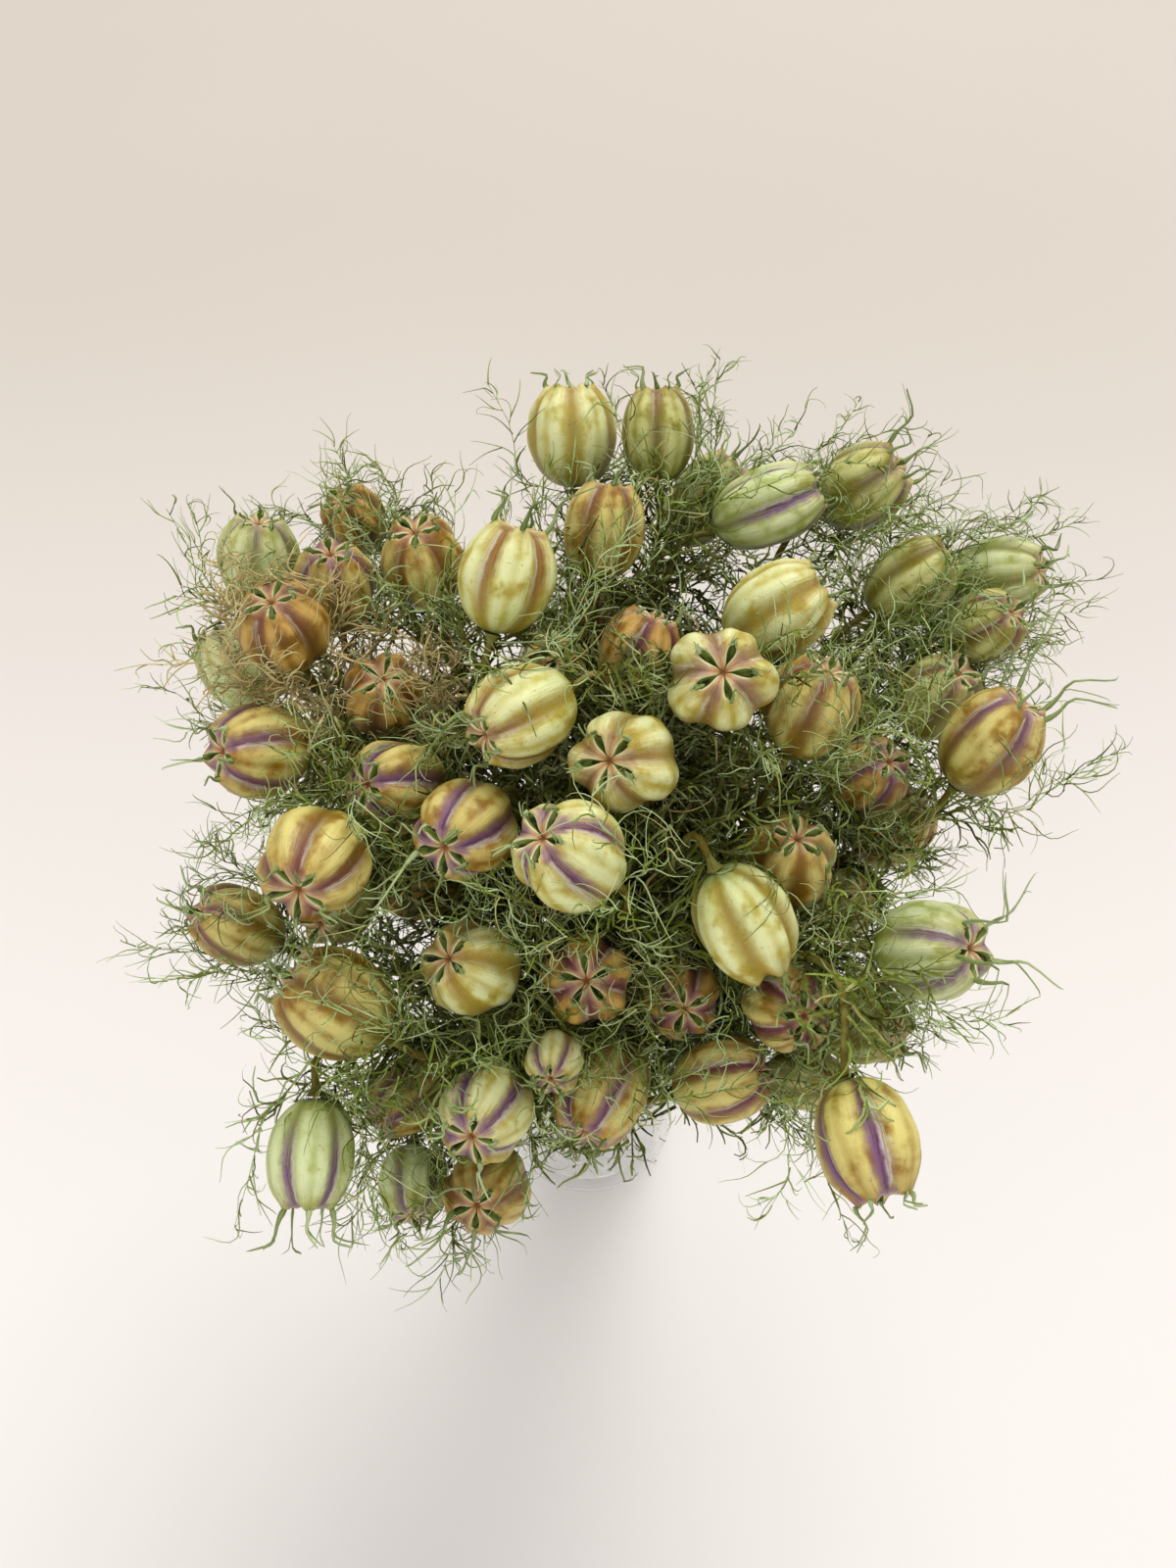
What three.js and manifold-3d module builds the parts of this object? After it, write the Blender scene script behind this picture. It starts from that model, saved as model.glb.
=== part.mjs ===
import * as THREE from 'three';
import Module from 'manifold-3d';

const wasm = await Module();
wasm.setup();

// Sizes in mm. The row stands on the floor plane z = 0 with the vase on the z axis.
const VASE = { radius: 37, wall: 3, height: 180, floor: 11, edge: 2, sides: 36 };
const STEM = { radius: 1.0, gap: 0.6, foot: 14, waist: 112, rim: 184, neck: 12, collar: 4.5 };
const POD = { gap: 0.9, lobes: 5 };
const HORN = { radius: 0.75, gap: 0.35, tries: 30 };
const THREAD = { radius: 0.4, gap: 0.5, tries: 40 };
const BUNCH_MIDDLE = new THREE.Vector3(4, 18, 0);

// The bunch was seen from above and in front. These turn a place read in that view into a place in the bunch.
const EYE = new THREE.Vector3(0, -162, 620);
const LOOK_DOWN = THREE.MathUtils.degToRad(62.4);
const FOCAL = 1437;
const VIEW_MIDDLE_X = 600;
const VIEW_MIDDLE_Y = 800;
const AHEAD = new THREE.Vector3(0, Math.cos(LOOK_DOWN), -Math.sin(LOOK_DOWN));
const UPWARD = new THREE.Vector3(0, Math.sin(LOOK_DOWN), Math.cos(LOOK_DOWN));
const SIDEWAYS = new THREE.Vector3(1, 0, 0);

// Dry skin colours of the pods and the glass of the vase.
const TONES = {
  cream: { color: 0xcfcb86, roughness: 0.55 },
  ochre: { color: 0xb39a48, roughness: 0.55 },
  olive: { color: 0x8f8c46, roughness: 0.6 },
  green: { color: 0xa9b57c, roughness: 0.55 },
  brown: { color: 0xa86c3c, roughness: 0.6 },
};
const GLASS = { color: 0xdfe8e6, roughness: 0.05 };

// One row for each stemmed head: its middle and its tip in the view, its width in the view (across),
// its real width and length, how many thread bracts it carries, and the length of its longest horn.
// A head with away: true has its tip on the far side.
const HEADS = [
  { x: 585, y: 443, tipX: 583, tipY: 390, across: 92, wide: 25, long: 29, bracts: 2, horn: 10, tone: 'cream' },
  { x: 670, y: 442, tipX: 668, tipY: 392, across: 78, wide: 21, long: 27, bracts: 4, horn: 12, tone: 'olive' },
  { x: 517, y: 588, tipX: 532, tipY: 532, across: 103, wide: 24, long: 27.5, bracts: 3, horn: 17, tone: 'cream' },
  { x: 615, y: 540, tipX: 622, tipY: 488, across: 85, wide: 22, long: 27, bracts: 4, horn: 9, tone: 'ochre' },
  { x: 722, y: 510, tipX: 765, tipY: 458, across: 75, wide: 21.5, long: 31, bracts: 3, horn: 16, tone: 'olive' },
  { x: 785, y: 517, tipX: 845, tipY: 495, across: 85, wide: 22.5, long: 32, bracts: 3, horn: 12, tone: 'green' },
  { x: 880, y: 497, tipX: 918, tipY: 475, across: 88, wide: 24, long: 27, bracts: 5, horn: 20, tone: 'olive' },
  { x: 793, y: 622, tipX: 842, tipY: 592, across: 100, wide: 24.5, long: 29, bracts: 3, horn: 10, tone: 'cream' },
  { x: 736, y: 694, tipX: 733, tipY: 688, across: 112, wide: 25, long: 26, bracts: 2, horn: 9, tone: 'cream' },
  { x: 828, y: 722, tipX: 845, tipY: 680, across: 100, wide: 24, long: 26, bracts: 4, horn: 9, tone: 'ochre' },
  { x: 652, y: 668, tipX: 670, tipY: 625, across: 85, wide: 21.5, long: 25, bracts: 3, horn: 9, tone: 'brown' },
  { x: 612, y: 637, tipX: 622, tipY: 617, across: 75, wide: 21, long: 23.5, bracts: 2, horn: 8, tone: 'brown' },
  { x: 945, y: 605, tipX: 985, tipY: 575, across: 80, wide: 21.5, long: 28, bracts: 5, horn: 12, tone: 'olive' },
  { x: 1015, y: 590, tipX: 1055, tipY: 590, across: 75, wide: 20.5, long: 28, bracts: 5, horn: 15, tone: 'green' },
  { x: 990, y: 630, tipX: 1015, tipY: 617, across: 75, wide: 20, long: 24, bracts: 4, horn: 12, tone: 'olive' },
  { x: 960, y: 702, tipX: 977, tipY: 675, across: 85, wide: 22.5, long: 26, bracts: 4, horn: 12, tone: 'olive' },
  { x: 1012, y: 757, tipX: 1042, tipY: 713, across: 100, wide: 25, long: 30, bracts: 3, horn: 32, tone: 'ochre' },
  { x: 885, y: 790, tipX: 905, tipY: 775, across: 80, wide: 21, long: 24, bracts: 4, horn: 9, tone: 'brown' },
  { x: 910, y: 842, tipX: 938, tipY: 812, across: 85, wide: 24, long: 27, bracts: 3, horn: 10, tone: 'ochre' },
  { x: 262, y: 570, tipX: 270, tipY: 530, across: 85, wide: 23, long: 26, bracts: 3, horn: 9, tone: 'green' },
  { x: 345, y: 597, tipX: 345, tipY: 563, across: 85, wide: 22, long: 26, bracts: 3, horn: 10, tone: 'ochre' },
  { x: 430, y: 575, tipX: 423, tipY: 543, across: 92, wide: 24, long: 27, bracts: 3, horn: 9, tone: 'ochre' },
  { x: 362, y: 530, tipX: 350, tipY: 515, across: 65, wide: 18, long: 22, bracts: 5, horn: 9, tone: 'brown' },
  { x: 290, y: 640, tipX: 282, tipY: 613, across: 92, wide: 22.5, long: 24, bracts: 4, horn: 9, tone: 'brown' },
  { x: 245, y: 680, tipX: 222, tipY: 640, across: 85, wide: 23.5, long: 27, bracts: 2, horn: 10, tone: 'green' },
  { x: 393, y: 710, tipX: 397, tipY: 692, across: 87, wide: 22, long: 24, bracts: 4, horn: 8, tone: 'brown' },
  { x: 265, y: 765, tipX: 227, tipY: 768, across: 100, wide: 24.5, long: 27, bracts: 3, horn: 12, tone: 'ochre' },
  { x: 405, y: 802, tipX: 373, tipY: 800, across: 98, wide: 23.5, long: 26, bracts: 3, horn: 9, tone: 'ochre' },
  { x: 533, y: 730, tipX: 488, tipY: 757, across: 105, wide: 23.5, long: 27, bracts: 2, horn: 12, tone: 'cream' },
  { x: 565, y: 680, tipX: 570, tipY: 670, across: 75, wide: 19.5, long: 22, bracts: 2, horn: 7, tone: 'cream' },
  { x: 637, y: 775, tipX: 615, tipY: 777, across: 110, wide: 24.5, long: 26, bracts: 2, horn: 10, tone: 'cream' },
  { x: 475, y: 845, tipX: 452, tipY: 868, across: 104, wide: 23.5, long: 25, bracts: 2, horn: 18, tone: 'ochre' },
  { x: 582, y: 873, tipX: 547, tipY: 848, across: 112, wide: 24, long: 27.5, bracts: 2, horn: 12, tone: 'cream' },
  { x: 322, y: 880, tipX: 310, tipY: 912, across: 112, wide: 25, long: 27.5, bracts: 3, horn: 11, tone: 'ochre' },
  { x: 242, y: 945, tipX: 205, tipY: 923, across: 82, wide: 21, long: 26, bracts: 5, horn: 12, tone: 'ochre' },
  { x: 342, y: 1025, tipX: 292, tipY: 990, across: 112, wide: 26, long: 29, bracts: 4, horn: 12, tone: 'ochre' },
  { x: 482, y: 987, tipX: 455, tipY: 970, across: 100, wide: 23.5, long: 25.5, bracts: 2, horn: 9, tone: 'cream' },
  { x: 600, y: 1000, tipX: 598, tipY: 994, across: 95, wide: 22.5, long: 24, bracts: 5, horn: 8, tone: 'brown' },
  { x: 693, y: 1018, tipX: 697, tipY: 1025, across: 85, wide: 21, long: 24, bracts: 3, horn: 9, tone: 'brown' },
  { x: 760, y: 942, tipX: 793, tipY: 1000, across: 102, wide: 23.5, long: 30, bracts: 2, horn: 9, tone: 'cream', away: true },
  { x: 805, y: 880, tipX: 810, tipY: 848, across: 97, wide: 23.5, long: 25, bracts: 2, horn: 9, tone: 'ochre' },
  { x: 805, y: 1028, tipX: 818, tipY: 1032, across: 93, wide: 22.5, long: 24.5, bracts: 3, horn: 10, tone: 'ochre' },
  { x: 680, y: 893, tipX: 690, tipY: 880, across: 72, wide: 20, long: 23, bracts: 1, horn: 7, tone: 'brown' },
  { x: 950, y: 968, tipX: 988, tipY: 963, across: 108, wide: 25.5, long: 28.5, bracts: 3, horn: 28, tone: 'green' },
  { x: 885, y: 1165, tipX: 900, tipY: 1223, across: 112, wide: 25, long: 29, bracts: 1, horn: 12, tone: 'ochre' },
  { x: 737, y: 1102, tipX: 783, tipY: 1085, across: 88, wide: 21.5, long: 26, bracts: 2, horn: 9, tone: 'ochre' },
  { x: 822, y: 1098, tipX: 853, tipY: 1100, across: 68, wide: 17.5, long: 21.5, bracts: 2, horn: 8, tone: 'olive' },
  { x: 880, y: 1042, tipX: 915, tipY: 1050, across: 88, wide: 22, long: 26, bracts: 4, horn: 10, tone: 'olive' },
  { x: 615, y: 1115, tipX: 592, tipY: 1157, across: 92, wide: 22.5, long: 29, bracts: 2, horn: 11, tone: 'ochre' },
  { x: 563, y: 1085, tipX: 560, tipY: 1100, across: 62, wide: 14.5, long: 17, bracts: 1, horn: 6, tone: 'cream' },
  { x: 498, y: 1133, tipX: 483, tipY: 1153, across: 100, wide: 23.5, long: 26.5, bracts: 2, horn: 10, tone: 'cream' },
  { x: 418, y: 1122, tipX: 388, tipY: 1143, across: 75, wide: 19, long: 26, bracts: 3, horn: 12, tone: 'ochre' },
  { x: 318, y: 1180, tipX: 317, tipY: 1237, across: 88, wide: 20.5, long: 27, bracts: 3, horn: 20, tone: 'green' },
  { x: 420, y: 1205, tipX: 422, tipY: 1235, across: 70, wide: 17.5, long: 21, bracts: 2, horn: 9, tone: 'green' },
  { x: 497, y: 1212, tipX: 488, tipY: 1220, across: 88, wide: 21.5, long: 26, bracts: 3, horn: 26, tone: 'ochre' },
  { x: 425, y: 903, tipX: 385, tipY: 897, across: 75, wide: 20.5, long: 24, bracts: 1, horn: 8, tone: 'brown' },
  { x: 722, y: 797, tipX: 730, tipY: 780, across: 85, wide: 23, long: 25, bracts: 1, horn: 8, tone: 'ochre' },
  { x: 862, y: 922, tipX: 880, tipY: 905, across: 75, wide: 20.5, long: 23, bracts: 1, horn: 8, tone: 'cream' },
  { x: 345, y: 920, tipX: 330, tipY: 945, across: 85, wide: 21.5, long: 25, bracts: 1, horn: 8, tone: 'olive' },
];

// A repeatable draw between 0 and 1 for a head, one of its pieces, and a try.
function draw(head, piece, number) {
  const wave = Math.sin(head * 12.9898 + piece * 78.233 + number * 37.719) * 43758.5453;
  return wave - Math.floor(wave);
}

function between(low, high, share) {
  return low + (high - low) * share;
}

// A place in the bunch from its place in the view and its distance along the view.
function placeInBunch(x, y, distance) {
  return EYE.clone()
    .addScaledVector(AHEAD, distance)
    .addScaledVector(SIDEWAYS, (distance * (x - VIEW_MIDDLE_X)) / FOCAL)
    .addScaledVector(UPWARD, (distance * (VIEW_MIDDLE_Y - y)) / FOCAL);
}

// A pod's middle, its axis from stem to tip, and two directions across it.
function poseOf(head, number) {
  const distance = (FOCAL * head.wide) / head.across;
  const halfLengthInView = (head.long * FOCAL) / (2 * distance);
  const leanX = (head.tipX - head.x) / halfLengthInView;
  const leanY = (head.y - head.tipY) / halfLengthInView;
  const seen = Math.hypot(leanX, leanY);
  const lean = Math.min(seen, 0.97);
  const towardEye = Math.sqrt(1 - lean * lean) * (head.away ? -1 : 1);
  const axis = new THREE.Vector3()
    .addScaledVector(SIDEWAYS, (leanX * lean) / seen)
    .addScaledVector(UPWARD, (leanY * lean) / seen)
    .addScaledVector(AHEAD, -towardEye)
    .normalize();
  const level = new THREE.Vector3(-axis.y, axis.x, 0.001).cross(axis).normalize();
  const right = level.clone().applyAxisAngle(axis, number * 2.4);
  const front = axis.clone().cross(right);
  return { ...head, middle: placeInBunch(head.x, head.y, distance), axis, right, front };
}

// Nearest places of two straight pieces, as shares of their lengths, and the gap vector from a to b.
function nearest(a0, a1, b0, b1) {
  const along = a1.clone().sub(a0);
  const across = b1.clone().sub(b0);
  const offset = a0.clone().sub(b0);
  const aa = along.lengthSq();
  const bb = across.lengthSq();
  const ab = along.dot(across);
  const ao = along.dot(offset);
  const bo = across.dot(offset);
  const spread = aa * bb - ab * ab;
  const clamp = (value) => Math.min(1, Math.max(0, value));
  let onA = spread > 1e-9 ? clamp((ab * bo - ao * bb) / spread) : 0;
  let onB = bb > 1e-9 ? clamp((ab * onA + bo) / bb) : 0;
  onA = aa > 1e-9 ? clamp((ab * onB - ao) / aa) : 0;
  onB = bb > 1e-9 ? clamp((ab * onA + bo) / bb) : 0;
  const gap = across.multiplyScalar(onB).add(b0).sub(along.multiplyScalar(onA).add(a0));
  return { onA, onB, gap };
}

// The round-ended rod that a pod fills.
function podRod(pod) {
  const half = (pod.long - pod.wide) / 2;
  return {
    from: pod.middle.clone().addScaledVector(pod.axis, -half),
    to: pod.middle.clone().addScaledVector(pod.axis, half),
    radius: pod.wide / 2,
  };
}

// Pods that would cross are moved apart until all of them are clear.
function settlePods(pods) {
  for (let round = 0; round < 300; round += 1) {
    const rods = pods.map(podRod);
    const moves = pods.map(() => new THREE.Vector3());
    rods.forEach((a, i) => {
      rods.slice(i + 1).forEach((b, later) => {
        const { gap } = nearest(a.from, a.to, b.from, b.to);
        const missing = a.radius + b.radius + POD.gap - gap.length();
        if (missing > 0) {
          const push = gap.normalize().multiplyScalar(missing * 0.35);
          moves[i].sub(push);
          moves[i + 1 + later].add(push);
        }
      });
    });
    pods.forEach((pod, i) => pod.middle.add(moves[i]));
  }
}

// A stem's first course: foot in the vase, waist, rim, an arc to the neck under the pod, and the collar.
function stemCourse(pod) {
  const away = new THREE.Vector3(pod.middle.x - BUNCH_MIDDLE.x, pod.middle.y - BUNCH_MIDDLE.y, 0);
  const standing = new THREE.Vector3(0, 0, 1);
  const level = (share, turn, height) =>
    away.clone().applyAxisAngle(standing, turn).multiplyScalar(share).setZ(height);
  const below = (drop) => pod.middle.clone().addScaledVector(pod.axis, -pod.long / 2 - drop);
  const foot = level(0.24, 1.9, STEM.foot);
  const waist = level(0.13, 0.9, STEM.waist);
  const rim = level(0.2, 0.1, STEM.rim);
  const neck = below(STEM.neck);
  const reach = neck.distanceTo(rim);
  const leave = rim.clone().addScaledVector(rim.clone().sub(waist).normalize(), reach * 0.4);
  const arrive = neck.clone().addScaledVector(pod.axis, -reach * 0.42);
  const arc = new THREE.CubicBezierCurve3(rim, leave, arrive, neck);
  return [
    foot,
    waist,
    ...[0, 0.2, 0.4, 0.6, 0.8, 1].map((share) => arc.getPoint(share)),
    below(STEM.collar),
    below(0.4),
  ];
}

// Stems are bent clear of one another, of the pods and of the glass. The collar under the pod stays put.
const STEM_RIM_POINT = 2;

function bendClear(stems, pods) {
  const apart = 2 * STEM.radius + STEM.gap;
  const inside = VASE.radius - VASE.wall - STEM.radius - 1.5;
  const rods = pods.map(podRod);
  const rounds = 320;
  for (let round = 0; round < rounds; round += 1) {
    const moves = stems.map((points) => points.map(() => new THREE.Vector3()));
    const boxes = stems.map((points) => points.map((point, m) => {
      const next = points[Math.min(m + 1, points.length - 1)];
      return new THREE.Box3().setFromPoints([point, next]).expandByScalar(apart / 2);
    }));
    stems.forEach((first, i) => {
      for (let j = i + 1; j < stems.length; j += 1) {
        const second = stems[j];
        for (let m = 0; m < first.length - 1; m += 1) {
          for (let n = 0; n < second.length - 1; n += 1) {
            if (!boxes[i][m].intersectsBox(boxes[j][n])) {
              continue;
            }
            const { onA, onB, gap } = nearest(first[m], first[m + 1], second[n], second[n + 1]);
            const missing = apart - gap.length();
            if (missing > 0) {
              const push = gap.normalize().multiplyScalar(missing * 0.4);
              moves[i][m].addScaledVector(push, onA - 1);
              moves[i][m + 1].addScaledVector(push, -onA);
              moves[j][n].addScaledVector(push, 1 - onB);
              moves[j][n + 1].addScaledVector(push, onB);
            }
          }
        }
      }
      rods.forEach((rod, other) => {
        for (let m = 0; m < first.length - 1 && other !== i; m += 1) {
          const { onA, gap } = nearest(first[m], first[m + 1], rod.from, rod.to);
          const missing = rod.radius + STEM.radius + 0.9 - gap.length();
          if (missing > 0) {
            const push = gap.normalize().multiplyScalar(-missing * 0.8);
            moves[i][m].addScaledVector(push, 1 - onA);
            moves[i][m + 1].addScaledVector(push, onA);
          }
        }
      });
    });
    const smoothing = round < rounds * 0.6 ? 0.1 : 0;
    stems.forEach((points, i) => {
      const before = points.map((point) => point.clone());
      for (let m = 0; m < points.length - 2; m += 1) {
        points[m].addScaledVector(moves[i][m], m === points.length - 3 ? 0.6 : 1);
        if (m > STEM_RIM_POINT && m < points.length - 3) {
          points[m].addScaledVector(before[m - 1], smoothing / 2);
          points[m].addScaledVector(before[m + 1], smoothing / 2);
          points[m].addScaledVector(before[m], -smoothing);
        }
      }
      [STEM.foot, STEM.waist, STEM.rim].forEach((height, m) => {
        const out = Math.hypot(points[m].x, points[m].y);
        const keep = Math.min(1, inside / out);
        points[m].set(points[m].x * keep, points[m].y * keep, height);
      });
    });
  }
}

// A closed skin is kept as a list of spots and a list of faces, each turned outward.
function joinRings(skin, low, high) {
  let i = 0;
  let j = 0;
  while (i < low.length || j < high.length) {
    const a = low[i % low.length];
    const b = high[j % high.length];
    const stepLow = j >= high.length || (i < low.length && (i + 0.5) / low.length <= (j + 0.5) / high.length);
    if (stepLow && low.length > 1) {
      skin.faces.push([a, low[(i + 1) % low.length], b]);
    }
    if (!stepLow && high.length > 1) {
      skin.faces.push([a, high[(j + 1) % high.length], b]);
    }
    i += stepLow ? 1 : 0;
    j += stepLow ? 0 : 1;
  }
}

function addRing(skin, ring) {
  const first = skin.spots.length;
  skin.spots.push(...ring);
  return ring.map((spot, index) => first + index);
}

function ringAround(middle, along, side, radius, count) {
  const start = side.clone().addScaledVector(along, -side.dot(along)).normalize();
  const other = along.clone().cross(start);
  return Array.from({ length: count }, (unused, index) => {
    const angle = (2 * Math.PI * index) / count;
    return middle.clone()
      .addScaledVector(start, radius * Math.cos(angle))
      .addScaledVector(other, radius * Math.sin(angle));
  });
}

// A limb replaces one face of the skin by a tapering three-sided rod that ends in a tip.
function growLimb(skin, face, course, radii) {
  const [a, b, c] = skin.faces[face];
  const root = skin.spots[a].clone().add(skin.spots[b]).add(skin.spots[c]).divideScalar(3);
  const side = skin.spots[a].clone().sub(root);
  const rings = [[a, b, c]];
  for (let index = 0; index < course.length - 1; index += 1) {
    const before = index > 0 ? course[index - 1] : root;
    const along = course[index + 1].clone().sub(before).normalize();
    rings.push(addRing(skin, ringAround(course[index], along, side, radii[index], 3)));
  }
  const tip = addRing(skin, [course[course.length - 1]])[0];
  skin.faces[face] = null;
  for (let index = 0; index < rings.length - 1; index += 1) {
    const [low, high] = [rings[index], rings[index + 1]];
    for (let side3 = 0; side3 < 3; side3 += 1) {
      const next = (side3 + 1) % 3;
      skin.faces.push([low[side3], low[next], high[next]]);
      skin.faces.push([low[side3], high[next], high[side3]]);
    }
  }
  const last = rings[rings.length - 1];
  for (let side3 = 0; side3 < 3; side3 += 1) {
    skin.faces.push([last[side3], last[(side3 + 1) % 3], tip]);
  }
  return rings;
}

// A small face is cut free in the middle of a larger one, and its number is given back.
function cutFace(skin, face, shares, size) {
  const corners = skin.faces[face];
  const middle = new THREE.Vector3();
  corners.forEach((corner, index) => middle.addScaledVector(skin.spots[corner], shares[index]));
  const inner = addRing(skin, corners.map((corner) => middle.clone().lerp(skin.spots[corner], size)));
  for (let side3 = 0; side3 < 3; side3 += 1) {
    const next = (side3 + 1) % 3;
    skin.faces.push([corners[side3], corners[next], inner[next]]);
    skin.faces.push([corners[side3], inner[next], inner[side3]]);
  }
  skin.faces[face] = inner;
  return { face, middle };
}

// A barb stands on a short face cut along one side of a thread's ring.
function growBarb(skin, ring, side3, above, tip) {
  const a = ring[side3];
  const b = ring[(side3 + 1) % 3];
  const far = above[(side3 + 1) % 3];
  const face = skin.faces.findIndex((corners) => corners && corners[0] === a && corners[1] === b
    && corners[2] === far);
  if (face < 0) {
    return;
  }
  const heel = skin.spots[a].clone().lerp(skin.spots[b], 0.5);
  heel.lerp(skin.spots[far], 0.9 / Math.max(heel.distanceTo(skin.spots[far]), 2));
  const [m, t] = addRing(skin, [heel, tip]);
  skin.faces[face] = [a, b, t];
  skin.faces.push([b, m, t], [m, a, t], [b, far, m], [m, far, a]);
}

// The pod's skin: five swollen lobes with a groove between each two, and a sunken star at the tip.
const POD_PROFILE = [
  { up: -0.76, lobe: 0.62, groove: 0.57 },
  { up: -0.25, lobe: 0.99, groove: 0.86 },
  { up: 0.35, lobe: 0.95, groove: 0.8 },
  { up: 0.86, lobe: 0.54, groove: 0.38 },
];
const POD_STAR_DEPTH = 0.78;

function podSpot(pod, azimuth, out, up) {
  return pod.middle.clone()
    .addScaledVector(pod.right, (out * pod.wide * Math.cos(azimuth)) / 2)
    .addScaledVector(pod.front, (out * pod.wide * Math.sin(azimuth)) / 2)
    .addScaledVector(pod.axis, (up * pod.long) / 2);
}

// The stem and the pod are one skin: the stem's three sides open out into the lobes.
function headSkin(pod, stem) {
  const skin = { spots: [], faces: [] };
  const stemRings = [];
  let side = pod.right.clone();
  for (let m = stem.length - 1; m >= 0; m -= 1) {
    const above = stem[Math.min(m + 1, stem.length - 1)];
    const along = above.clone().sub(stem[Math.max(m - 1, 0)]).normalize();
    const ring = ringAround(stem[m], along, side, STEM.radius, 3);
    side = ring[0].clone().sub(stem[m]);
    stemRings.unshift(addRing(skin, ring));
  }
  const podRings = POD_PROFILE.map(({ up, lobe, groove }) => {
    const ring = Array.from({ length: 2 * POD.lobes }, (unused, index) =>
      podSpot(pod, (Math.PI * index) / POD.lobes, index % 2 ? groove : lobe, up));
    return addRing(skin, ring);
  });
  const star = addRing(skin, [podSpot(pod, 0, 0, POD_STAR_DEPTH)]);
  const rings = [...stemRings, ...podRings];
  const [a, b, c] = stemRings[0];
  skin.faces.push([a, c, b]);
  let collar = 0;
  for (let index = 0; index < rings.length - 1; index += 1) {
    if (index === stemRings.length - 2) {
      collar = skin.faces.length;
    }
    joinRings(skin, rings[index], rings[index + 1]);
  }
  const starFaces = skin.faces.length;
  const last = rings[rings.length - 1];
  last.forEach((spot, index) => skin.faces.push([spot, last[(index + 1) % last.length], star[0]]));
  return { skin, collar, starFaces };
}

// A horn rises from the top of its lobe and curls outward.
function hornCourse(pod, own, lobe, attempt, root) {
  const pick = (number) => draw(own, 10 + lobe, attempt * 9 + number);
  const full = pod.horn * (lobe === 0 ? 1 : between(0.5, 0.85, pick(0)));
  const length = full * (1 - attempt / (HORN.tries * 1.4));
  const outward = root.clone().sub(pod.middle);
  outward.addScaledVector(pod.axis, -outward.dot(pod.axis)).normalize();
  const sideways = outward.clone().cross(pod.axis).multiplyScalar(between(-0.5, 0.5, pick(1)));
  const middle = root.clone()
    .addScaledVector(pod.axis, length * 0.5)
    .addScaledVector(outward, length * between(0.08, 0.3, pick(2)))
    .addScaledVector(sideways, length * 0.15);
  const tip = middle.clone()
    .addScaledVector(pod.axis, length * between(-0.05, 0.35, pick(3)))
    .addScaledVector(outward, length * between(0.25, 0.5, pick(4)))
    .addScaledVector(sideways, length * 0.5);
  return [root, middle, tip];
}

// A thread bract springs from the collar under the pod and arches around the pod.
function bractCourse(pod, own, bract, attempt, foot, outwardFromFace) {
  const pick = (number) => draw(own, 20 + bract, attempt * 9 + number);
  const turn = between(-0.6, 0.6, pick(0)) + (bract % 2 ? 0.45 : -0.45);
  const outward = outwardFromFace.clone().applyAxisAngle(pod.axis, turn);
  const sideways = outward.clone().cross(pod.axis);
  const twist = between(-0.5, 0.5, pick(1));
  const flare = between(1.25, 1.7, pick(2));
  const height = between(0.7, 1.5, pick(3));
  const spot = (out, up, swing) => pod.middle.clone()
    .addScaledVector(outward, (out * pod.wide) / 2)
    .addScaledVector(sideways, (swing * twist * pod.wide) / 2)
    .addScaledVector(pod.axis, (up * pod.long) / 2);
  return [
    foot,
    spot(flare * 0.85, -0.78, 0.3),
    spot(flare, height * 0.15, 0.8),
    spot(flare * between(0.95, 1.6, pick(4)), height, 1.4),
  ];
}

// Every straight piece that is already in place. Trimmed pieces leave out the root that joins their own head.
const placed = [];

function place(course, radius, own, kind) {
  for (let index = 0; index < course.length - 1; index += 1) {
    const from = course[index];
    const to = course[index + 1];
    placed.push({ from, trimmed: index === 0 ? from.clone().lerp(to, 0.25) : from, to, radius, own, kind });
  }
}

function isClear(course, radius, gap, own, ignoredKind) {
  for (let index = 0; index < course.length - 1; index += 1) {
    const to = course[index + 1];
    const trimmed = index === 0 ? course[0].clone().lerp(to, 0.25) : course[index];
    const blocked = placed.some((piece) => {
      if (piece.own === own && piece.kind === ignoredKind) {
        return false;
      }
      const near = piece.own === own
        ? nearest(trimmed, to, piece.trimmed, piece.to)
        : nearest(course[index], to, piece.from, piece.to);
      return near.gap.length() < radius + piece.radius + (piece.own === own ? 0.05 : gap);
    });
    if (blocked) {
      return false;
    }
  }
  return true;
}

// The horns of one head, each on a small face cut beside the star.
function growHorns(pod, own, built) {
  for (let lobe = 0; lobe < POD.lobes; lobe += 1) {
    const { face, middle } = cutFace(built.skin, built.starFaces + 2 * lobe, [0.5, 0.3, 0.2], 0.3);
    for (let attempt = 0; attempt < HORN.tries; attempt += 1) {
      const course = hornCourse(pod, own, lobe, attempt, middle);
      if (isClear(course, HORN.radius, HORN.gap, own, 'pod')) {
        place(course, HORN.radius, own, 'horn');
        growLimb(built.skin, face, course.slice(1), [HORN.radius * 0.75]);
        break;
      }
    }
  }
}

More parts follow.
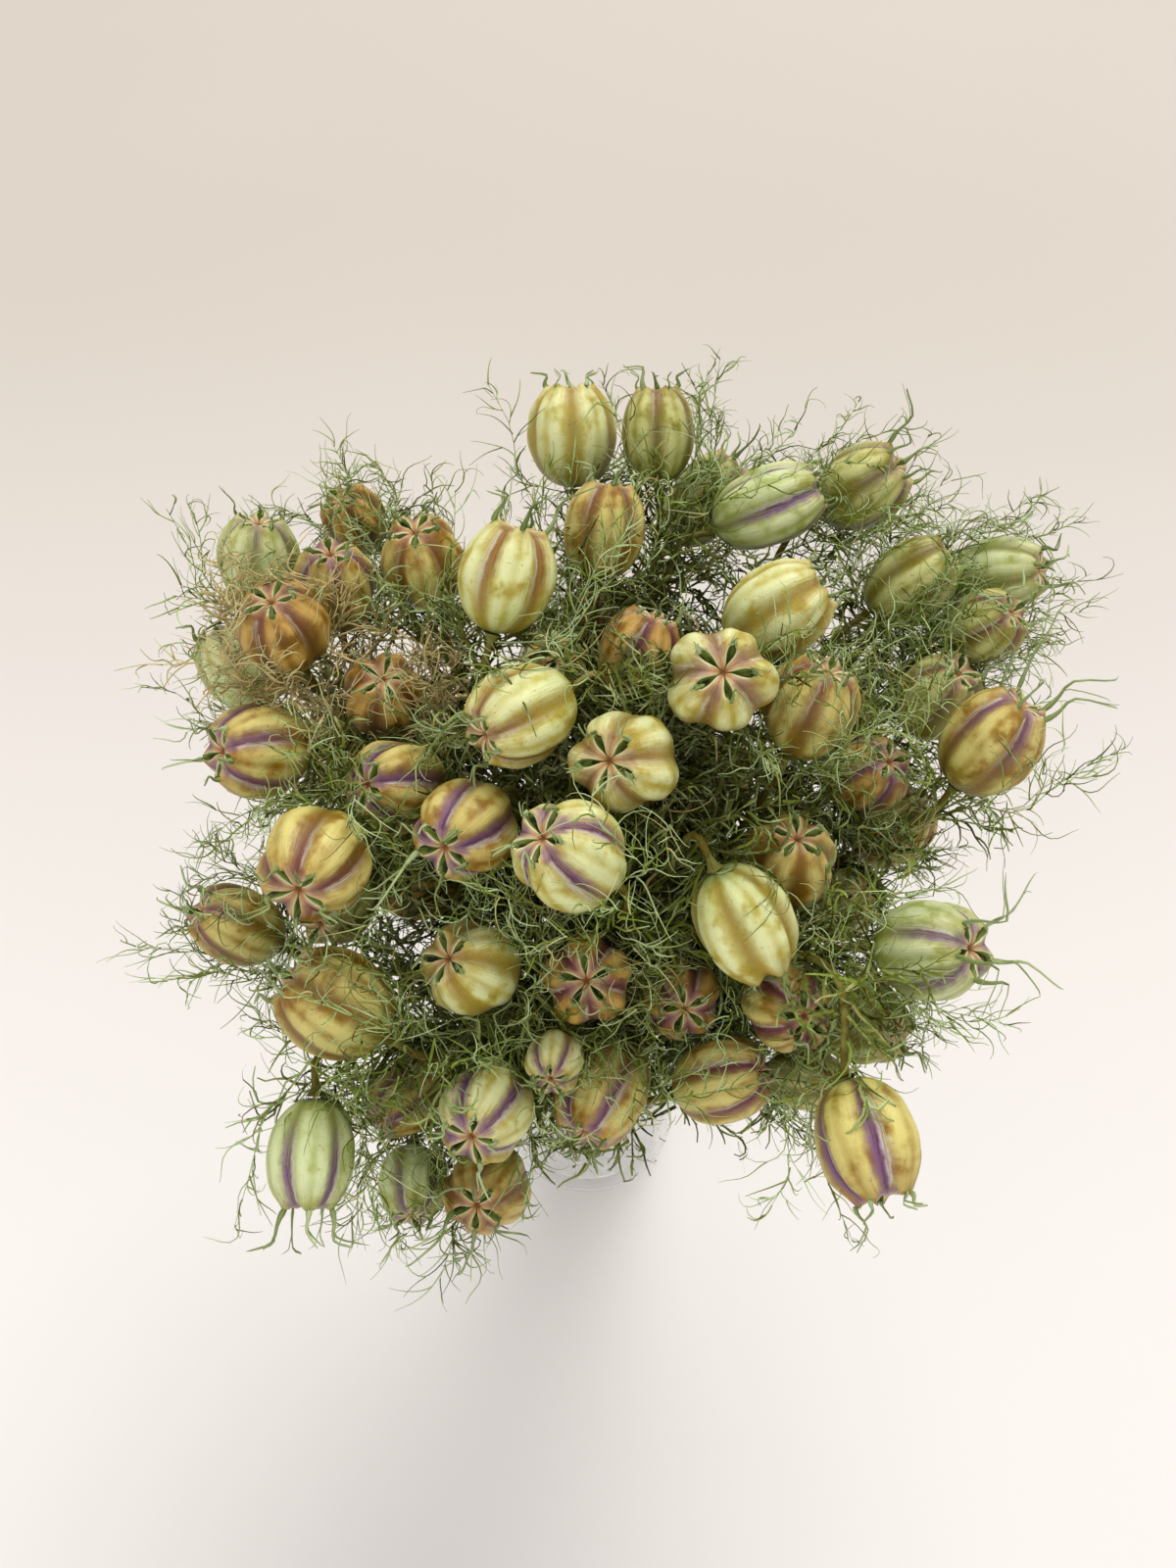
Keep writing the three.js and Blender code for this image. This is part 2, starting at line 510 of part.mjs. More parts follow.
// The thread bracts of one head, on the faces of its collar, with barbs at their joints.
function growThreads(pod, own, built) {
  for (let bract = 0; bract < pod.bracts; bract += 1) {
    const face = built.collar + bract;
    const [a, b, c] = built.skin.faces[face].map((spot) => built.skin.spots[spot]);
    const foot = a.clone().add(b).add(c).divideScalar(3);
    const outward = b.clone().sub(a).cross(c.clone().sub(a));
    outward.addScaledVector(pod.axis, -outward.dot(pod.axis)).normalize();
    for (let attempt = 0; attempt < THREAD.tries; attempt += 1) {
      const course = bractCourse(pod, own, bract, attempt, foot, outward);
      if (!isClear(course, THREAD.radius, THREAD.gap, own, 'none')) {
        continue;
      }
      place(course, THREAD.radius, own, 'thread');
      const radii = [THREAD.radius, THREAD.radius * 0.8];
      const rings = growLimb(built.skin, face, course.slice(1), radii);
      growBarbs(pod, own, bract, built, course, rings);
      break;
    }
  }
}

function growBarbs(pod, own, bract, built, course, rings) {
  for (let barb = 0; barb < 3; barb += 1) {
    const joint = barb < 2 ? 1 : 2;
    const ring = rings[joint];
    const above = rings[joint + 1];
    if (!above) {
      continue;
    }
    for (let attempt = 0; attempt < 12; attempt += 1) {
      const pick = (number) => draw(own, 40 + 5 * bract + barb, attempt * 5 + number);
      const along = course[joint + 1].clone().sub(course[joint]).normalize();
      const a = built.skin.spots[ring[barb]];
      const b = built.skin.spots[ring[(barb + 1) % 3]];
      const heel = a.clone().lerp(b, 0.5);
      const outward = heel.clone().sub(course[joint]).normalize();
      const length = between(7, 14, pick(0));
      const tip = heel.clone()
        .addScaledVector(along, length * between(0.4, 0.8, pick(1)))
        .addScaledVector(outward, length * between(0.5, 0.9, pick(2)));
      if (isClear([heel, tip], THREAD.radius, THREAD.gap, own, 'none')) {
        place([heel, tip], THREAD.radius, own, 'thread');
        growBarb(built.skin, ring, barb, above, tip);
        break;
      }
    }
  }
}

// The glass vase: a straight cylinder with a thick flat foot and rounded edges, open at the top.
function vaseSkin() {
  const { radius, wall, height, floor, edge, sides } = VASE;
  const inner = radius - wall;
  const profile = [
    [radius - edge, 0],
    [radius, edge],
    [radius, height - 1],
    [radius - 0.8, height],
    [inner + 0.8, height],
    [inner, height - 1],
    [inner, floor + 4],
    [inner - 4, floor],
  ];
  const skin = { spots: [], faces: [] };
  const upward = new THREE.Vector3(0, 0, 1);
  const rings = profile.map(([out, up]) =>
    addRing(skin, ringAround(new THREE.Vector3(0, 0, up), upward, SIDEWAYS, out, sides)));
  const underside = addRing(skin, [new THREE.Vector3(0, 0, 0)])[0];
  const inside = addRing(skin, [new THREE.Vector3(0, 0, floor)])[0];
  for (let index = 0; index < rings.length - 1; index += 1) {
    joinRings(skin, rings[index], rings[index + 1]);
  }
  rings[0].forEach((spot, index) => skin.faces.push([underside, rings[0][(index + 1) % sides], spot]));
  const last = rings[rings.length - 1];
  last.forEach((spot, index) => skin.faces.push([spot, last[(index + 1) % sides], inside]));
  return skin;
}

function meshFrom(skin, name, finish) {
  const vertProperties = new Float32Array(skin.spots.flatMap((spot) => [spot.x, spot.y, spot.z]));
  const triVerts = new Uint32Array(skin.faces.filter((face) => face).flat());
  const solid = new wasm.Manifold(new wasm.Mesh({ numProp: 3, vertProperties, triVerts }));
  const { vertProperties: spots, triVerts: faces } = solid.getMesh();
  const geometry = new THREE.BufferGeometry();
  geometry.setAttribute('position', new THREE.BufferAttribute(new Float32Array(spots), 3));
  geometry.setIndex(new THREE.BufferAttribute(new Uint32Array(faces), 1));
  const mesh = new THREE.Mesh(geometry, new THREE.MeshStandardMaterial({ ...finish, metalness: 0 }));
  mesh.name = name;
  return mesh;
}

const pods = HEADS.map(poseOf);
settlePods(pods);
const stems = pods.map(stemCourse);
bendClear(stems, pods);
pods.forEach((pod, own) => {
  const { from, to, radius } = podRod(pod);
  placed.push({ from, trimmed: from, to, radius, own, kind: 'pod' });
  place(stems[own], STEM.radius, own, 'stem');
});
const heads = pods.map((pod, own) => headSkin(pod, stems[own]));
pods.forEach((pod, own) => growHorns(pod, own, heads[own]));
pods.forEach((pod, own) => growThreads(pod, own, heads[own]));

const part = new THREE.Group();
part.add(meshFrom(vaseSkin(), 'vase', GLASS));
pods.forEach((pod, own) => {
  const name = `head_${String(own + 1).padStart(2, '0')}`;
  part.add(meshFrom(heads[own].skin, name, TONES[pod.tone]));
});

export default part;
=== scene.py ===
"""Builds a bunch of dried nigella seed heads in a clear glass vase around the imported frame."""

import math
from collections import namedtuple

import bpy
import mathutils
import numpy as np
from bpy.props import FloatProperty, FloatVectorProperty, IntProperty, PointerProperty
from bpy.types import Operator, Panel, PropertyGroup
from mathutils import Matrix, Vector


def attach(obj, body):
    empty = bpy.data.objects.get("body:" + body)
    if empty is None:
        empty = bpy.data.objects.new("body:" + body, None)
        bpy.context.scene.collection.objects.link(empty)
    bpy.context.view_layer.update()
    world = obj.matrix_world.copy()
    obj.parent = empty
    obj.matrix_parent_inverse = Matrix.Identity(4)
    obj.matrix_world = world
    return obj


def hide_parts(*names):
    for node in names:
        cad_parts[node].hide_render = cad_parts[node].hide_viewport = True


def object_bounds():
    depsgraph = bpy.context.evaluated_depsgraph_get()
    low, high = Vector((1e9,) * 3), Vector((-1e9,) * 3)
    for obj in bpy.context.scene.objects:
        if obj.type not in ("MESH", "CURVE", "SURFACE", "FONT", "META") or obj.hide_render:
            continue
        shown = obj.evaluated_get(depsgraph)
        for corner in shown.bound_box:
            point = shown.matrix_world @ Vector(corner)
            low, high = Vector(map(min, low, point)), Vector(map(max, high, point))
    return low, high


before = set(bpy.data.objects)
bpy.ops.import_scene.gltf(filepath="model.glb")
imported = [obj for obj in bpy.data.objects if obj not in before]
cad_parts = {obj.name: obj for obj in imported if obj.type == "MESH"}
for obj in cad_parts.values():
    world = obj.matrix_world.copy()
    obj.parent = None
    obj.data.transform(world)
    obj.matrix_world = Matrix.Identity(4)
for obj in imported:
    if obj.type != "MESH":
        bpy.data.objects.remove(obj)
cad_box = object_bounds()

bl_info = {
    "name": "Nigella bouquet",
    "version": (1, 0, 0),
    "blender": (4, 5, 0),
    "location": "View3D > Sidebar > Nigella",
    "description": "Dried love-in-a-mist seed heads on thin stems in a clear glass vase",
    "category": "Object",
}

MM = 0.001

# The photograph's view: where the lens stood in mm, how steeply it looked down, and its reach in pixels.
EYE = np.array([0.0, -162.0, 620.0])
LOOK_DOWN = math.radians(62.4)
FOCAL = 1437.0
VIEW_WIDTH = 1200
VIEW_HEIGHT = 1600
AHEAD = np.array([0.0, math.cos(LOOK_DOWN), -math.sin(LOOK_DOWN)])
UPWARD = np.array([0.0, math.sin(LOOK_DOWN), math.cos(LOOK_DOWN)])
SIDEWAYS = np.array([1.0, 0.0, 0.0])

# The solids' own sizes in mm, which set where each head and stem stands. A stem's levels are its foot, its
# waist and the vase's rim. Its spreads and turns say how far out and how far round it stands at each, and its
# arc leaves the rim and arrives at the neck with these shares of the way between them. Its top three places
# hold still more and more. A limb's root is the first share of it, where it grows out of its own head.
VASE_INNER = 34.0
VASE_ROOM = 1.5
STEM_RADIUS = 1.0
STEM_GAP = 0.6
STEM_POD_GAP = 0.9
STEM_LEVELS = (14.0, 112.0, 184.0)
STEM_SPREADS = (0.24, 0.13, 0.2)
STEM_TURNS = (1.9, 0.9, 0.1)
STEM_LEAVES_RIM = 0.4
STEM_ARRIVES = 0.42
STEM_TOP_EASE = (0.6, 0, 0)
STEM_NECK = 12.0
STEM_COLLAR = 4.5
STEM_TOP = 0.4
POD_GAP = 0.9
POD_TURN = 2.4
MOST_LEAN = 0.97
LOBES = 5
HORN_RADIUS = 0.75
HORN_GAP = 0.35
HORN_TRIES = 30
THREAD_RADIUS = 0.4
THREAD_GAP = 0.5
THREAD_TRIES = 40
BARB_TRIES = 12
OWN_GAP = 0.05
ROOT_SHARE = 0.25
BUNCH_MIDDLE = np.array([4.0, 18.0, 0.0])

# How many rounds of pushing set the capsules and the stems apart, and how much of a gap one round closes. The
# first rounds even out the stems' bends too.
SETTLE_ROUNDS = 300
SETTLE_EASE = 0.35
BEND_ROUNDS = 320
BEND_EASE = 0.4
POD_EASE = 0.8
EVEN_ROUNDS = BEND_ROUNDS * 0.6
EVEN_EASE = 0.1

# x, y and tip: the capsule's middle and tip in the photograph. across: its width there. wide and long: its
# real size in mm. bracts: how many the solid carries. horn: its longest horn in mm. seam: how strong its
# stripes are. hue: stripes from brown (0) to purple (1). lace: how many thread bracts dress it. straw: how
# dry its threads are. away: its tip points away from the lens.
Head = namedtuple("Head", "x y tip_x tip_y across wide long bracts horn tone seam hue lace straw away",
                  defaults=(0.0, False))

HEADS = [
    Head(585, 443, 583, 390, 92, 25.0, 29.0, 2, 10, "cream", 0.25, 0.15, 3),
    Head(670, 442, 668, 392, 78, 21.0, 27.0, 4, 12, "olive", 0.5, 0.5, 6),
    Head(517, 588, 532, 532, 103, 24.0, 27.5, 3, 17, "cream", 0.8, 0.2, 5),
    Head(615, 540, 622, 488, 85, 22.0, 27.0, 4, 9, "ochre", 0.5, 0.5, 6),
    Head(722, 510, 765, 458, 75, 21.5, 31.0, 3, 16, "olive", 0.6, 0.8, 5),
    Head(785, 517, 845, 495, 85, 22.5, 32.0, 3, 12, "green", 0.95, 1.0, 5),
    Head(880, 497, 918, 475, 88, 24.0, 27.0, 5, 20, "olive", 0.45, 1.0, 8),
    Head(793, 622, 842, 592, 100, 24.5, 29.0, 3, 10, "cream", 0.35, 0.7, 4),
    Head(736, 694, 733, 688, 112, 25.0, 26.0, 2, 9, "cream", 0.55, 0.8, 3),
    Head(828, 722, 845, 680, 100, 24.0, 26.0, 4, 9, "ochre", 0.5, 0.5, 7, 0.1),
    Head(652, 668, 670, 625, 85, 21.5, 25.0, 3, 9, "brown", 1.0, 0.6, 5),
    Head(612, 637, 622, 617, 75, 21.0, 23.5, 2, 8, "brown", 0.5, 0.4, 4),
    Head(945, 605, 985, 575, 80, 21.5, 28.0, 5, 12, "olive", 0.4, 0.7, 8),
    Head(1015, 590, 1055, 590, 75, 20.5, 28.0, 5, 15, "green", 0.4, 0.7, 8),
    Head(990, 630, 1015, 617, 75, 20.0, 24.0, 4, 12, "olive", 0.6, 0.6, 7),
    Head(960, 702, 977, 675, 85, 22.5, 26.0, 4, 12, "olive", 0.5, 0.8, 7),
    Head(1012, 757, 1042, 713, 100, 25.0, 30.0, 3, 32, "ochre", 0.6, 1.0, 5),
    Head(885, 790, 905, 775, 80, 21.0, 24.0, 4, 9, "brown", 0.6, 0.9, 7, 0.1),
    Head(910, 842, 938, 812, 85, 24.0, 27.0, 3, 10, "ochre", 0.4, 0.6, 5),
    Head(262, 570, 270, 530, 85, 23.0, 26.0, 3, 9, "green", 0.5, 1.0, 5, 0.1),
    Head(345, 597, 345, 563, 85, 22.0, 26.0, 3, 10, "ochre", 0.6, 0.9, 5, 0.1),
    Head(430, 575, 423, 543, 92, 24.0, 27.0, 3, 9, "ochre", 0.4, 0.5, 5),
    Head(362, 530, 350, 515, 65, 18.0, 22.0, 5, 9, "brown", 0.4, 0.4, 8, 0.1),
    Head(290, 640, 282, 613, 92, 22.5, 24.0, 4, 9, "brown", 0.5, 0.5, 7, 0.7),
    Head(245, 680, 222, 640, 85, 23.5, 27.0, 2, 10, "green", 0.5, 1.0, 4, 0.1),
    Head(393, 710, 397, 692, 87, 22.0, 24.0, 4, 8, "brown", 0.4, 0.4, 7, 0.8),
    Head(265, 765, 227, 768, 100, 24.5, 27.0, 3, 12, "ochre", 0.7, 0.9, 5),
    Head(405, 802, 373, 800, 98, 23.5, 26.0, 3, 9, "ochre", 0.8, 0.95, 5),
    Head(533, 730, 488, 757, 105, 23.5, 27.0, 2, 12, "cream", 0.5, 0.7, 3),
    Head(565, 680, 570, 670, 75, 19.5, 22.0, 2, 7, "cream", 0.3, 0.3, 3),
    Head(637, 775, 615, 777, 110, 24.5, 26.0, 2, 10, "cream", 0.45, 0.6, 3),
    Head(475, 845, 452, 868, 104, 23.5, 25.0, 2, 18, "ochre", 0.75, 0.95, 4),
    Head(582, 873, 547, 848, 112, 24.0, 27.5, 2, 12, "cream", 0.85, 0.9, 4),
    Head(322, 880, 310, 912, 112, 25.0, 27.5, 3, 11, "ochre", 0.6, 0.6, 5),
    Head(242, 945, 205, 923, 82, 21.0, 26.0, 5, 12, "ochre", 0.5, 0.9, 8),
    Head(342, 1025, 292, 990, 112, 26.0, 29.0, 4, 12, "ochre", 0.15, 0.4, 7),
    Head(482, 987, 455, 970, 100, 23.5, 25.5, 2, 9, "cream", 0.35, 0.2, 4),
    Head(600, 1000, 598, 994, 95, 22.5, 24.0, 5, 8, "brown", 0.7, 0.6, 8, 0.2),
    Head(693, 1018, 697, 1025, 85, 21.0, 24.0, 3, 9, "brown", 0.6, 0.8, 5),
    Head(760, 942, 793, 1000, 102, 23.5, 30.0, 2, 9, "cream", 0.05, 0.3, 3, 0.0, True),
    Head(805, 880, 810, 848, 97, 23.5, 25.0, 2, 9, "ochre", 0.15, 0.4, 3),
    Head(805, 1028, 818, 1032, 93, 22.5, 24.5, 3, 10, "ochre", 0.9, 0.6, 5),
    Head(680, 893, 690, 880, 72, 20.0, 23.0, 1, 7, "brown", 0.4, 0.5, 3),
    Head(950, 968, 988, 963, 108, 25.5, 28.5, 3, 28, "green", 0.7, 1.0, 5),
    Head(885, 1165, 900, 1223, 112, 25.0, 29.0, 1, 12, "ochre", 1.0, 1.0, 2),
    Head(737, 1102, 783, 1085, 88, 21.5, 26.0, 2, 9, "ochre", 0.8, 0.6, 4),
    Head(822, 1098, 853, 1100, 68, 17.5, 21.5, 2, 8, "olive", 0.3, 0.6, 4),
    Head(880, 1042, 915, 1050, 88, 22.0, 26.0, 4, 10, "olive", 0.3, 0.7, 6),
    Head(615, 1115, 592, 1157, 92, 22.5, 29.0, 2, 11, "ochre", 0.75, 0.9, 3),
    Head(563, 1085, 560, 1100, 62, 14.5, 17.0, 1, 6, "cream", 0.7, 0.95, 2),
    Head(498, 1133, 483, 1153, 100, 23.5, 26.5, 2, 10, "cream", 0.95, 1.0, 4),
    Head(418, 1122, 388, 1143, 75, 19.0, 26.0, 3, 12, "ochre", 0.6, 0.9, 5),
    Head(318, 1180, 317, 1237, 88, 20.5, 27.0, 3, 20, "green", 0.85, 1.0, 5),
    Head(420, 1205, 422, 1235, 70, 17.5, 21.0, 2, 9, "green", 0.7, 1.0, 4),
    Head(497, 1212, 488, 1220, 88, 21.5, 26.0, 3, 26, "ochre", 0.4, 0.6, 5),
    Head(425, 903, 385, 897, 75, 20.5, 24.0, 1, 8, "brown", 0.3, 0.5, 3),
    Head(722, 797, 730, 780, 85, 23.0, 25.0, 1, 8, "ochre", 0.3, 0.5, 3),
    Head(862, 922, 880, 905, 75, 20.5, 23.0, 1, 8, "cream", 0.3, 0.5, 3),
    Head(345, 920, 330, 945, 85, 21.5, 25.0, 1, 8, "olive", 0.3, 0.5, 3),
]


def draw(head, piece, number):
    """A repeatable draw between 0 and 1 for a head, a piece of it and a try, from the digits of a sine."""
    wave = math.sin(head * 12.9898 + piece * 78.233 + number * 37.719) * 43758.5453
    return wave - math.floor(wave)


def between(low, high, share):
    """The value at a share of the way from low to high."""
    return low + (high - low) * share


def unit(vector):
    """The vector, or each vector of an array, at length 1."""
    return vector / np.maximum(np.linalg.norm(vector, axis=-1, keepdims=True), 1e-12)


def dot(first, second):
    """The dot product of each two vectors."""
    return np.sum(first * second, axis=-1)


def turned(vector, axis, angle):
    """The vector turned about a unit axis."""
    return (vector * math.cos(angle) + np.cross(axis, vector) * math.sin(angle)
            + axis * dot(axis, vector) * (1 - math.cos(angle)))


def smooth_step(value, low, high):
    """0 up to low and 1 from high on, with a soft slope between them."""
    share = np.clip((value - low) / (high - low), 0, 1)
    return share * share * (3 - 2 * share)


def place_in_bunch(x, y, distance):
    """The place in mm that the photograph shows at x, y, at a distance ahead of the lens."""
    return (EYE + AHEAD * distance + SIDEWAYS * (distance * (x - VIEW_WIDTH / 2) / FOCAL)
            + UPWARD * (distance * (VIEW_HEIGHT / 2 - y) / FOCAL))


class Pod:
    """One capsule's place, axis and size in mm."""

    def __init__(self, head, number):
        distance = FOCAL * head.wide / head.across
        half_length_in_view = head.long * FOCAL / (2 * distance)
        lean_x = (head.tip_x - head.x) / half_length_in_view
        lean_y = (head.y - head.tip_y) / half_length_in_view
        seen = math.hypot(lean_x, lean_y)
        lean = min(seen, MOST_LEAN)
        toward_eye = math.sqrt(1 - lean * lean) * (-1 if head.away else 1)
        self.head, self.number = head, number
        self.wide, self.long = head.wide, head.long
        self.axis = unit(SIDEWAYS * (lean_x * lean / seen) + UPWARD * (lean_y * lean / seen)
                         - AHEAD * toward_eye)
        level = unit(np.cross(np.array([-self.axis[1], self.axis[0], 0.001]), self.axis))
        self.right = turned(level, self.axis, number * POD_TURN)
        self.front = np.cross(self.axis, self.right)
        self.middle = place_in_bunch(head.x, head.y, distance)

    def rod(self):
        """The two ends of the round-ended rod that the capsule fills."""
        half = (self.long - self.wide) / 2
        return self.middle - self.axis * half, self.middle + self.axis * half

    def spot(self, azimuth, out, up):
        """A place at shares of the half width and the half length from the middle."""
        return (self.middle + self.right * (out * self.wide * math.cos(azimuth) / 2)
                + self.front * (out * self.wide * math.sin(azimuth) / 2)
                + self.axis * (up * self.long / 2))

    def below(self, drop):
        """A place on the axis, under the capsule."""
        return self.middle - self.axis * (self.long / 2 + drop)


def nearest(a0, a1, b0, b1):
    """Nearest places of straight pieces, as shares of their lengths, and the gap vectors from a to b."""
    along = a1 - a0
    across = b1 - b0
    offset = a0 - b0
    aa, bb, ab = dot(along, along), dot(across, across), dot(along, across)
    ao, bo = dot(along, offset), dot(across, offset)
    spread = aa * bb - ab * ab
    safe_aa, safe_bb = np.maximum(aa, 1e-9), np.maximum(bb, 1e-9)
    on_a = np.where(spread > 1e-9, np.clip((ab * bo - ao * bb) / np.maximum(spread, 1e-9), 0, 1), 0)
    on_b = np.where(bb > 1e-9, np.clip((ab * on_a + bo) / safe_bb, 0, 1), 0)
    on_a = np.where(aa > 1e-9, np.clip((ab * on_b - ao) / safe_aa, 0, 1), 0)
    on_b = np.where(bb > 1e-9, np.clip((ab * on_a + bo) / safe_bb, 0, 1), 0)
    gap = b0 + across * on_b[..., None] - a0 - along * on_a[..., None]
    return on_a, on_b, gap


def settle_pods(pods):
    """Moves capsules that would cross apart, as the solids are."""
    first, second = np.triu_indices(len(pods), 1)
    radii = np.array([pod.wide / 2 for pod in pods])
    for _ in range(SETTLE_ROUNDS):
        ends = np.array([pod.rod() for pod in pods])
        gap = nearest(ends[first, 0], ends[first, 1], ends[second, 0], ends[second, 1])[2]
        missing = radii[first] + radii[second] + POD_GAP - np.linalg.norm(gap, axis=1)
        push = unit(gap) * (np.maximum(missing, 0) * SETTLE_EASE)[:, None]
        moves = np.zeros((len(pods), 3))
        np.add.at(moves, first, -push)
        np.add.at(moves, second, push)
        for pod, move in zip(pods, moves):
            pod.middle = pod.middle + move


def stem_course(pod):
    """A stem's first course: foot in the vase, waist, rim, an arc to the neck under the pod, the collar."""
    away = np.array([pod.middle[0] - BUNCH_MIDDLE[0], pod.middle[1] - BUNCH_MIDDLE[1], 0.0])
    standing = np.array([0.0, 0.0, 1.0])
    levels = []
    for share, turn, height in zip(STEM_SPREADS, STEM_TURNS, STEM_LEVELS):
        level = turned(away, standing, turn) * share
        level[2] = height
        levels.append(level)
    foot, waist, rim = levels
    neck = pod.below(STEM_NECK)
    reach = np.linalg.norm(neck - rim)
    leave = rim + unit(rim - waist) * (reach * STEM_LEAVES_RIM)
    arrive = neck - pod.axis * (reach * STEM_ARRIVES)
    arc = []
    for share in (0, 0.2, 0.4, 0.6, 0.8, 1):
        rest = 1 - share
        arc.append(rest ** 3 * rim + 3 * rest ** 2 * share * leave + 3 * rest * share ** 2 * arrive
                   + share ** 3 * neck)
    return np.array([foot, waist, *arc, pod.below(STEM_COLLAR), pod.below(STEM_TOP)])


def bend_clear(stems, pods):
    """Bends the stems clear of one another, of the capsules and of the glass, as the solids are."""
    points = np.array(stems)
    count, steps = points.shape[:2]
    pieces = steps - 1
    owner = np.repeat(np.arange(count), pieces)
    step = np.tile(np.arange(pieces), count)
    first, second = np.triu_indices(count * pieces, 1)
    other_stem = owner[first] != owner[second]
    first, second = first[other_stem], second[other_stem]
    rods = np.array([pod.rod() for pod in pods])
    radii = np.array([pod.wide / 2 for pod in pods])
    piece_of, rod_of = np.nonzero(owner[:, None] != np.arange(count)[None, :])
    apart = 2 * STEM_RADIUS + STEM_GAP
    inside = VASE_INNER - STEM_RADIUS - VASE_ROOM
    for turn in range(BEND_ROUNDS):
        moves = np.zeros_like(points)
        starts, ends = points[owner, step], points[owner, step + 1]
        low, high = np.minimum(starts, ends) - apart / 2, np.maximum(starts, ends) + apart / 2
        touching = np.all((low[first] <= high[second]) & (low[second] <= high[first]), axis=1)
        a, b = first[touching], second[touching]
        on_a, on_b, gap = nearest(starts[a], ends[a], starts[b], ends[b])
        missing = np.maximum(apart - np.linalg.norm(gap, axis=1), 0)
        push = unit(gap) * (missing * BEND_EASE)[:, None]
        np.add.at(moves, (owner[a], step[a]), push * (on_a - 1)[:, None])
        np.add.at(moves, (owner[a], step[a] + 1), push * -on_a[:, None])
        np.add.at(moves, (owner[b], step[b]), push * (1 - on_b)[:, None])
        np.add.at(moves, (owner[b], step[b] + 1), push * on_b[:, None])
        reach = radii[rod_of] + STEM_RADIUS + STEM_POD_GAP
        rod_low = rods.min(axis=1)[rod_of] - reach[:, None]
        rod_high = rods.max(axis=1)[rod_of] + reach[:, None]
        close = np.all((low[piece_of] <= rod_high) & (rod_low <= high[piece_of]), axis=1)
        a, r = piece_of[close], rod_of[close]
        on_a, _, gap = nearest(starts[a], ends[a], rods[r, 0], rods[r, 1])
        missing = np.maximum(reach[close] - np.linalg.norm(gap, axis=1), 0)
        push = unit(gap) * (-missing * POD_EASE)[:, None]
        np.add.at(moves, (owner[a], step[a]), push * (1 - on_a)[:, None])
        np.add.at(moves, (owner[a], step[a] + 1), push * on_a[:, None])
        ease = np.ones(steps)
        ease[-3:] = STEM_TOP_EASE
        before = points.copy()
        points = points + moves * ease[None, :, None]
        if turn < EVEN_ROUNDS:
            bent = slice(3, steps - 3)
            halfway = (before[:, 2:steps - 4] + before[:, 4:steps - 2]) / 2
            points[:, bent] += EVEN_EASE * (halfway - before[:, bent])
        out = np.linalg.norm(points[:, :3, :2], axis=2)
        points[:, :3, :2] *= np.minimum(1, inside / out)[:, :, None]
        points[:, :3, 2] = STEM_LEVELS
    return points


def ring_around(middle, along, side, radius, count):
    """A ring of points around a middle, square to along, with its first point towards side."""
    start = unit(side - along * dot(side, along))
    other = np.cross(along, start)
    angles = 2 * math.pi * np.arange(count) / count
    return middle + radius * (np.cos(angles)[:, None] * start + np.sin(angles)[:, None] * other)


def collar_faces(pod, stem):
    """The six faces of the solid's collar, which its thread bracts stand on."""
    side = pod.right
    rings = []
    for step in range(len(stem) - 1, len(stem) - 3, -1):
        above = stem[min(step + 1, len(stem) - 1)]
        along = unit(above - stem[step - 1])
        ring = ring_around(stem[step], along, side, STEM_RADIUS, 3)
        side = ring[0] - stem[step]
        rings.insert(0, ring)
    low, high = rings
    faces = []
    for corner in range(3):
        after = (corner + 1) % 3
        faces.append(np.array([low[corner], low[after], high[corner]]))
        faces.append(np.array([low[after], high[after], high[corner]]))
    return faces


class Placed:
    """Every straight piece in place, so that limbs can be kept clear of one another.

    A row holds a piece's start, its start without the root, its end, its radius, its head and whether it is a
    capsule. A limb is held against its own head's pieces without the roots, where they grow from each other.
    """

    def __init__(self):
        self.rows = []
        self.table = np.zeros((0, 12))

    def add(self, course, radius, own, kind):
        """Adds every straight piece of a course."""
        for index in range(len(course) - 1):
            start, end = course[index], course[index + 1]
            trimmed = start + (end - start) * ROOT_SHARE if index == 0 and kind != "pod" else start
            self.rows.append(np.concatenate([start, trimmed, end, [radius, own, kind == "pod"]]))
        self.table = np.array(self.rows)

    def is_clear(self, course, radius, gap, own, skip_own_pod=False):
        """Whether a course keeps its gap to every piece that is in place."""
        table = self.table
        mine = table[:, 10] == own
        if skip_own_pod:
            keep = ~(mine & (table[:, 11] > 0))
            table, mine = table[keep], mine[keep]
        for index in range(len(course) - 1):
            start, end = course[index], course[index + 1]
            trimmed = start + (end - start) * ROOT_SHARE if index == 0 else start
            starts = np.where(mine[:, None], trimmed, start)
            theirs = np.where(mine[:, None], table[:, 3:6], table[:, 0:3])
            ends = np.broadcast_to(end, starts.shape)
            found = nearest(starts, ends, theirs, table[:, 6:9])[2]
            room = radius + table[:, 9] + np.where(mine, OWN_GAP, gap)
            if np.any(np.linalg.norm(found, axis=1) < room):
                return False
        return True


def horn_course(pod, lobe, attempt, root):
    """A horn rises from the top of its lobe and curls outward."""
    def pick(number):
        return draw(pod.number, 10 + lobe, attempt * 9 + number)

    full = pod.head.horn * (1 if lobe == 0 else between(0.5, 0.85, pick(0)))
    length = full * (1 - attempt / (HORN_TRIES * 1.4))
    outward = root - pod.middle
    outward = unit(outward - pod.axis * dot(outward, pod.axis))
    sideways = np.cross(outward, pod.axis) * between(-0.5, 0.5, pick(1))
    middle = (root + pod.axis * (length * 0.5) + outward * (length * between(0.08, 0.3, pick(2)))
              + sideways * (length * 0.15))
    tip = (middle + pod.axis * (length * between(-0.05, 0.35, pick(3)))
           + outward * (length * between(0.25, 0.5, pick(4))) + sideways * (length * 0.5))
    return np.array([root, middle, tip])


